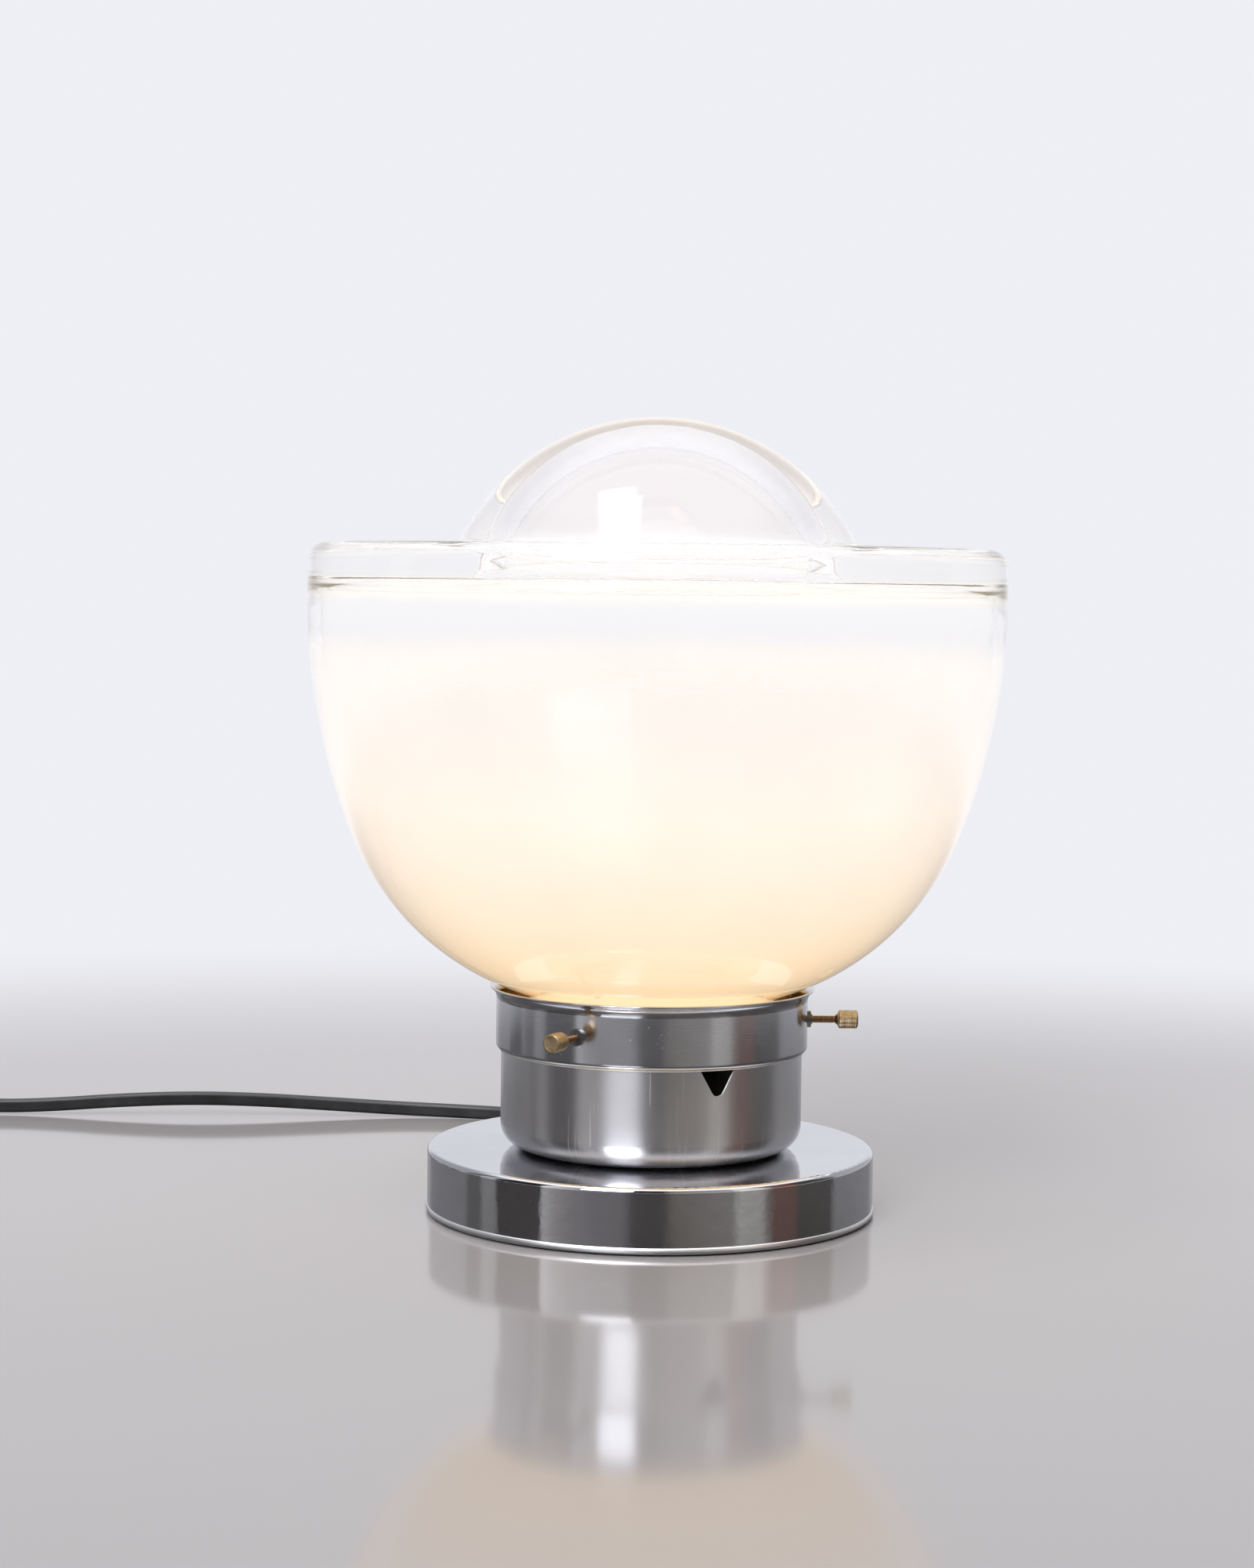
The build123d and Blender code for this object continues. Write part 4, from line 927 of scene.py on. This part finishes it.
def spiralTree():
    tree, given = startTree("capThread", threadInputs)
    return endTree(tree, given, spiralRidge(tree, given))


# Thumb screws: turned core with a dished end, fine thread and knurled head
screwLook = {
    "height": 0.0745, "tip": 0.0473, "head": 0.0721, "end": 0.0796, "collarLength": 0.0014, "collarRadius": 0.0023,
    "rootRadius": 0.00127, "crest": 0.00018, "pitch": 0.0005, "headRadius": 0.00342, "chamfer": 0.0005,
    "dish": 0.0003, "dishRadius": 0.0028, "knurlsRound": 34, "knurlRows": 11, "knurlDepth": 0.00016,
    "tipLength": 0.0005, "tipInset": 0.0004, "collarEdge": 0.0002, "dishEdge": 0.0002, "knurlSink": 0.00004,
    "threadFrom": 0.0006, "threadShort": 0.001,  # where the thread starts and how much it stops short
    "sides": 48, "sharpOver": 35,
    "screws": {"left": -27.8, "right": 92.2, "rear": 212.2},
}


def makeScrews(look):
    tree = thumbScrewTree()
    root, head, end, edge = look["rootRadius"], look["head"], look["end"], look["chamfer"]
    tip, collar, knob, dish = look["tip"], look["collarRadius"], look["headRadius"], look["dishRadius"]
    outline = [
        (0, tip), (root - look["tipInset"], tip), (root, tip + look["tipLength"]), (root, head - look["collarLength"]),
        (collar, head - look["collarEdge"]), (collar, head), (knob - edge, head), (knob, head + edge),
        (knob, end - edge), (knob - edge, end), (dish, end), (dish - look["dishEdge"], end - look["dish"]),
        (0, end - look["dish"]),
    ]
    for side, azimuth in look["screws"].items():
        name = "thumbScrew" + side.capitalize()
        core = lathe(name + "Core", outline, "agedBrass", look["sides"], look["sharpOver"])
        made = growPiece(name, tree, "agedBrass", {
            "Thread Radius": root, "Thread Pitch": look["pitch"], "Thread Depth": look["crest"],
            "Thread Start": tip + look["threadFrom"],
            "Thread Length": head - look["collarLength"] - tip - look["threadShort"],
            "Knurls Round": look["knurlsRound"], "Knurl Rows": look["knurlRows"],
            "Knurl Radius": knob - look["knurlSink"],
            "Knurl Depth": look["knurlDepth"], "Knurl Start": head + edge, "Knurl Length": end - head - 2 * edge,
            "Turn": (0.0, math.pi / 2, math.radians(azimuth - 90)), "Place": (0.0, 0.0, look["height"]),
        }, core)
        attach(made, "screw_" + side)
        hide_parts("thumb_screw_" + side)


makeScrews(screwLook)
print("thumb screws knurled")

# Ribs and threads on the lampholder, bulb, plug and switch
skirtLook = {"ribs": 48, "width": 0.0012, "length": 0.022, "height": 0.1, "sink": 0.0002}
capLook = {"pitch": 0.0036, "depth": 0.0003, "start": 0.003, "length": 0.0144}
plugLook = {"ribs": 5, "step": 0.0026, "start": 0.007, "width": 0.0012, "length": 0.0095, "sink": 0.0003}
switchLook = {"ribs": 3, "step": 0.0026, "start": 0.0155, "width": 0.001, "length": 0.013, "sink": 0.0002}


def ribSkirt(look):
    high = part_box("holder_skirt")[1]
    made = growPiece("skirtRibs", ribTree(), "bakelite", {
        "Ribs": look["ribs"], "Rib Radius": high.x - look["sink"], "Rib Width": look["width"],
        "Rib Length": look["length"], "Rib Height": look["height"],
    })
    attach(made, "lamp")


def threadCap(look):
    low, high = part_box("bulb_cap")
    made = growPiece("capThread", spiralTree(), "bulbMetal", {
        "Thread Radius": high.x, "Thread Pitch": look["pitch"], "Thread Depth": look["depth"],
        "Thread Start": low.z + look["start"], "Thread Length": look["length"],
    })
    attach(made, "bulb")


def ribRow(name, tree, look, origin, way, finish):
    # ribs across Y on a top face, one after the other along X
    made = growPiece(name, tree, finish, {
        "Ribs": look["ribs"], "Rib Width": look["width"], "Rib Length": look["length"],
        "First": (origin[0] + way * look["start"], origin[1], origin[2] - look["sink"]),
        "Step": (way * look["step"], 0.0, 0.0), "Turn": (math.pi / 2, 0.0, 0.0),
    })
    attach(made, "lamp")


ribSkirt(skirtLook)
threadCap(capLook)
rows = rowTree()
low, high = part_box("plug_body")
ribRow("plugRibs", rows, plugLook, (low.x, (low.y + high.y) / 2, high.z), 1, "cordBlack")
low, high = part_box("switch_upper_shell")
middle = ((low.x + high.x) / 2, (low.y + high.y) / 2, high.z)
for side, way in (("Near", 1), ("Far", -1)):
    ribRow("switchRibs" + side, rows, switchLook, middle, way, "switchPlastic")
print("ribs and threads added")

# Plain stage: a pale floor that fades into the pale surround, and soft light
stageLook = {
    "floor": (0.36, 0.34, 0.335), "floorSize": 12.0, "gloss": 0.09,
    "mirroredFloor": (0.08, 0.074, 0.072),  # what the metal sees of it
    "surround": (0.86, 0.865, 0.91), "fade": (0.68, 1.2), "fadeFrom": (0, -0.3, 0),
    "cards": [  # how bright the studio is round the lamp, by direction in degrees from the front
        (-180, (0.86, 0.865, 0.91)), (-162, (0.86, 0.865, 0.91)), (-152, (0.5, 0.5, 0.54)), (-110, (0.46, 0.46, 0.48)),
        (-106, (0.2, 0.2, 0.21)), (-97, (0.2, 0.2, 0.21)),
        (-95, (0.55, 0.55, 0.56)), (-87, (0.5, 0.5, 0.51)), (-83, (0.02, 0.02, 0.022)), (-59, (0.03, 0.03, 0.032)),
        (-56, (1.15, 1.12, 1.12)), (-50, (0.8, 0.77, 0.78)), (-30, (0.36, 0.345, 0.36)), (-15, (0.3, 0.29, 0.3)),
        (-10, (0.06, 0.055, 0.055)), (6, (0.06, 0.055, 0.055)), (12, (0.3, 0.27, 0.235)),
        (42, (0.5, 0.47, 0.44)), (46, (1.0, 0.96, 0.9)), (58, (0.9, 0.86, 0.8)), (62, (0.4, 0.36, 0.33)),
        (66, (0.24, 0.1, 0.07)), (78, (0.24, 0.1, 0.07)),
        (82, (0.07, 0.07, 0.06)), (104, (0.09, 0.09, 0.08)), (110, (0.48, 0.48, 0.5)),
        (152, (0.54, 0.54, 0.57)), (162, (0.86, 0.865, 0.91)), (180, (0.86, 0.865, 0.91)),
    ],
    "ceiling": (0.95, 0.96, 1.0), "mirroredCeiling": (1.8, 1.8, 1.85), "ceilingFrom": (0.6, 0.85),
    "panels": [  # bright ones: left and right edge in degrees, lower and upper edge, light
        (-36, -9, 0.28, 0.76, (9.6, 9.75, 10.3)),
    ],
}


def makeStage(look):
    mesh = bpy.data.meshes.new("paleFloor")
    size = look["floorSize"]
    mesh.from_pydata([(-size, -size, 0), (size, -size, 0), (size, size, 0), (-size, size, 0)], [], [(0, 1, 2, 3)])
    floor = bpy.data.objects.new("paleFloor", mesh)
    scene.collection.objects.link(floor)
    made, tree, shader, coords = startMaterial("paleFloor")
    away = addNode(tree, "ShaderNodeVectorMath", {0: coords, 1: look["fadeFrom"]}, operation="DISTANCE")
    far = addNode(tree, "ShaderNodeMapRange", {
        "Value": away.outputs["Value"], "From Min": look["fade"][0], "From Max": look["fade"][1],
    }, interpolation_type="SMOOTHSTEP").outputs["Result"]
    mirrored = addNode(tree, "ShaderNodeLightPath").outputs["Is Glossy Ray"]
    colour = mixColours(tree, mirrored, look["floor"], look["mirroredFloor"])
    feed(tree, shader, {"Base Color": colour, "Roughness": look["gloss"]})
    glow = addNode(tree, "ShaderNodeEmission", {"Color": (*look["surround"], 1)})
    both = addNode(tree, "ShaderNodeMixShader", {0: far, 1: shader, 2: glow})
    feed(tree, tree.nodes["Material Output"], {"Surface": both})
    mesh.materials.append(made)


def turnShare(degrees):
    # a direction as a share of the full turn, with the front at a half
    return degrees / 360 + 0.5


def makeSurround(look):
    world = bpy.data.worlds.new("studio")
    world.use_nodes = True
    tree = world.node_tree
    way = addNode(tree, "ShaderNodeTexCoord").outputs["Generated"]
    split = addNode(tree, "ShaderNodeSeparateXYZ", {"Vector": way})
    turn = addMath(tree, "ARCTAN2", split.outputs["X"], addMath(tree, "MULTIPLY", split.outputs["Y"], -1.0))
    share = addMath(tree, "ADD", addMath(tree, "DIVIDE", turn, 2 * math.pi), 0.5)
    cards = addRamp(tree, share, [(turnShare(degrees), colour) for degrees, colour in look["cards"]])
    over = addNode(tree, "ShaderNodeMapRange", {
        "Value": split.outputs["Z"], "From Min": look["ceilingFrom"][0], "From Max": look["ceilingFrom"][1],
    }, interpolation_type="SMOOTHSTEP").outputs["Result"]
    ray = addNode(tree, "ShaderNodeLightPath")
    above = mixColours(tree, ray.outputs["Is Glossy Ray"], look["ceiling"], look["mirroredCeiling"])
    seen = mixColours(tree, over, cards, above)
    for left, right, low, high, light in look["panels"]:
        across = addMath(tree, "COMPARE", share, turnShare((left + right) / 2))
        across.inputs[2].default_value = (right - left) / 2 / 360
        level = addMath(tree, "COMPARE", split.outputs["Z"], (low + high) / 2)
        level.inputs[2].default_value = (high - low) / 2
        seen = mixColours(tree, addMath(tree, "MULTIPLY", across, level), seen, light)
    plain = addMath(tree, "MAXIMUM", ray.outputs["Is Camera Ray"], ray.outputs["Is Transmission Ray"])
    feed(tree, tree.nodes["Background"], {"Color": mixColours(tree, plain, seen, look["surround"])})
    scene.world = world


softboxLook = {
    "place": (-0.46, -0.5, 1.61), "aim": (0, 0, 0.25), "upright": (0.1, 0.92, 0.38), "size": (0.4, 0.8), "power": 6.5,
}


def addSoftbox(name, look):
    data = bpy.data.lights.new(name, "AREA")
    data.shape = "RECTANGLE"
    data.size, data.size_y = look["size"]
    data.energy = look["power"]
    lamp = bpy.data.objects.new(name, data)
    lamp.location = look["place"]
    back = (Vector(look["place"]) - Vector(look["aim"])).normalized()
    side = Vector(look["upright"]).cross(back).normalized()
    lamp.rotation_euler = Matrix((side, back.cross(side), back)).transposed().to_euler()
    lamp.visible_camera = False
    scene.collection.objects.link(lamp)


makeStage(stageLook)
makeSurround(stageLook)
addSoftbox("overhead", softboxLook)
print("stage lit")
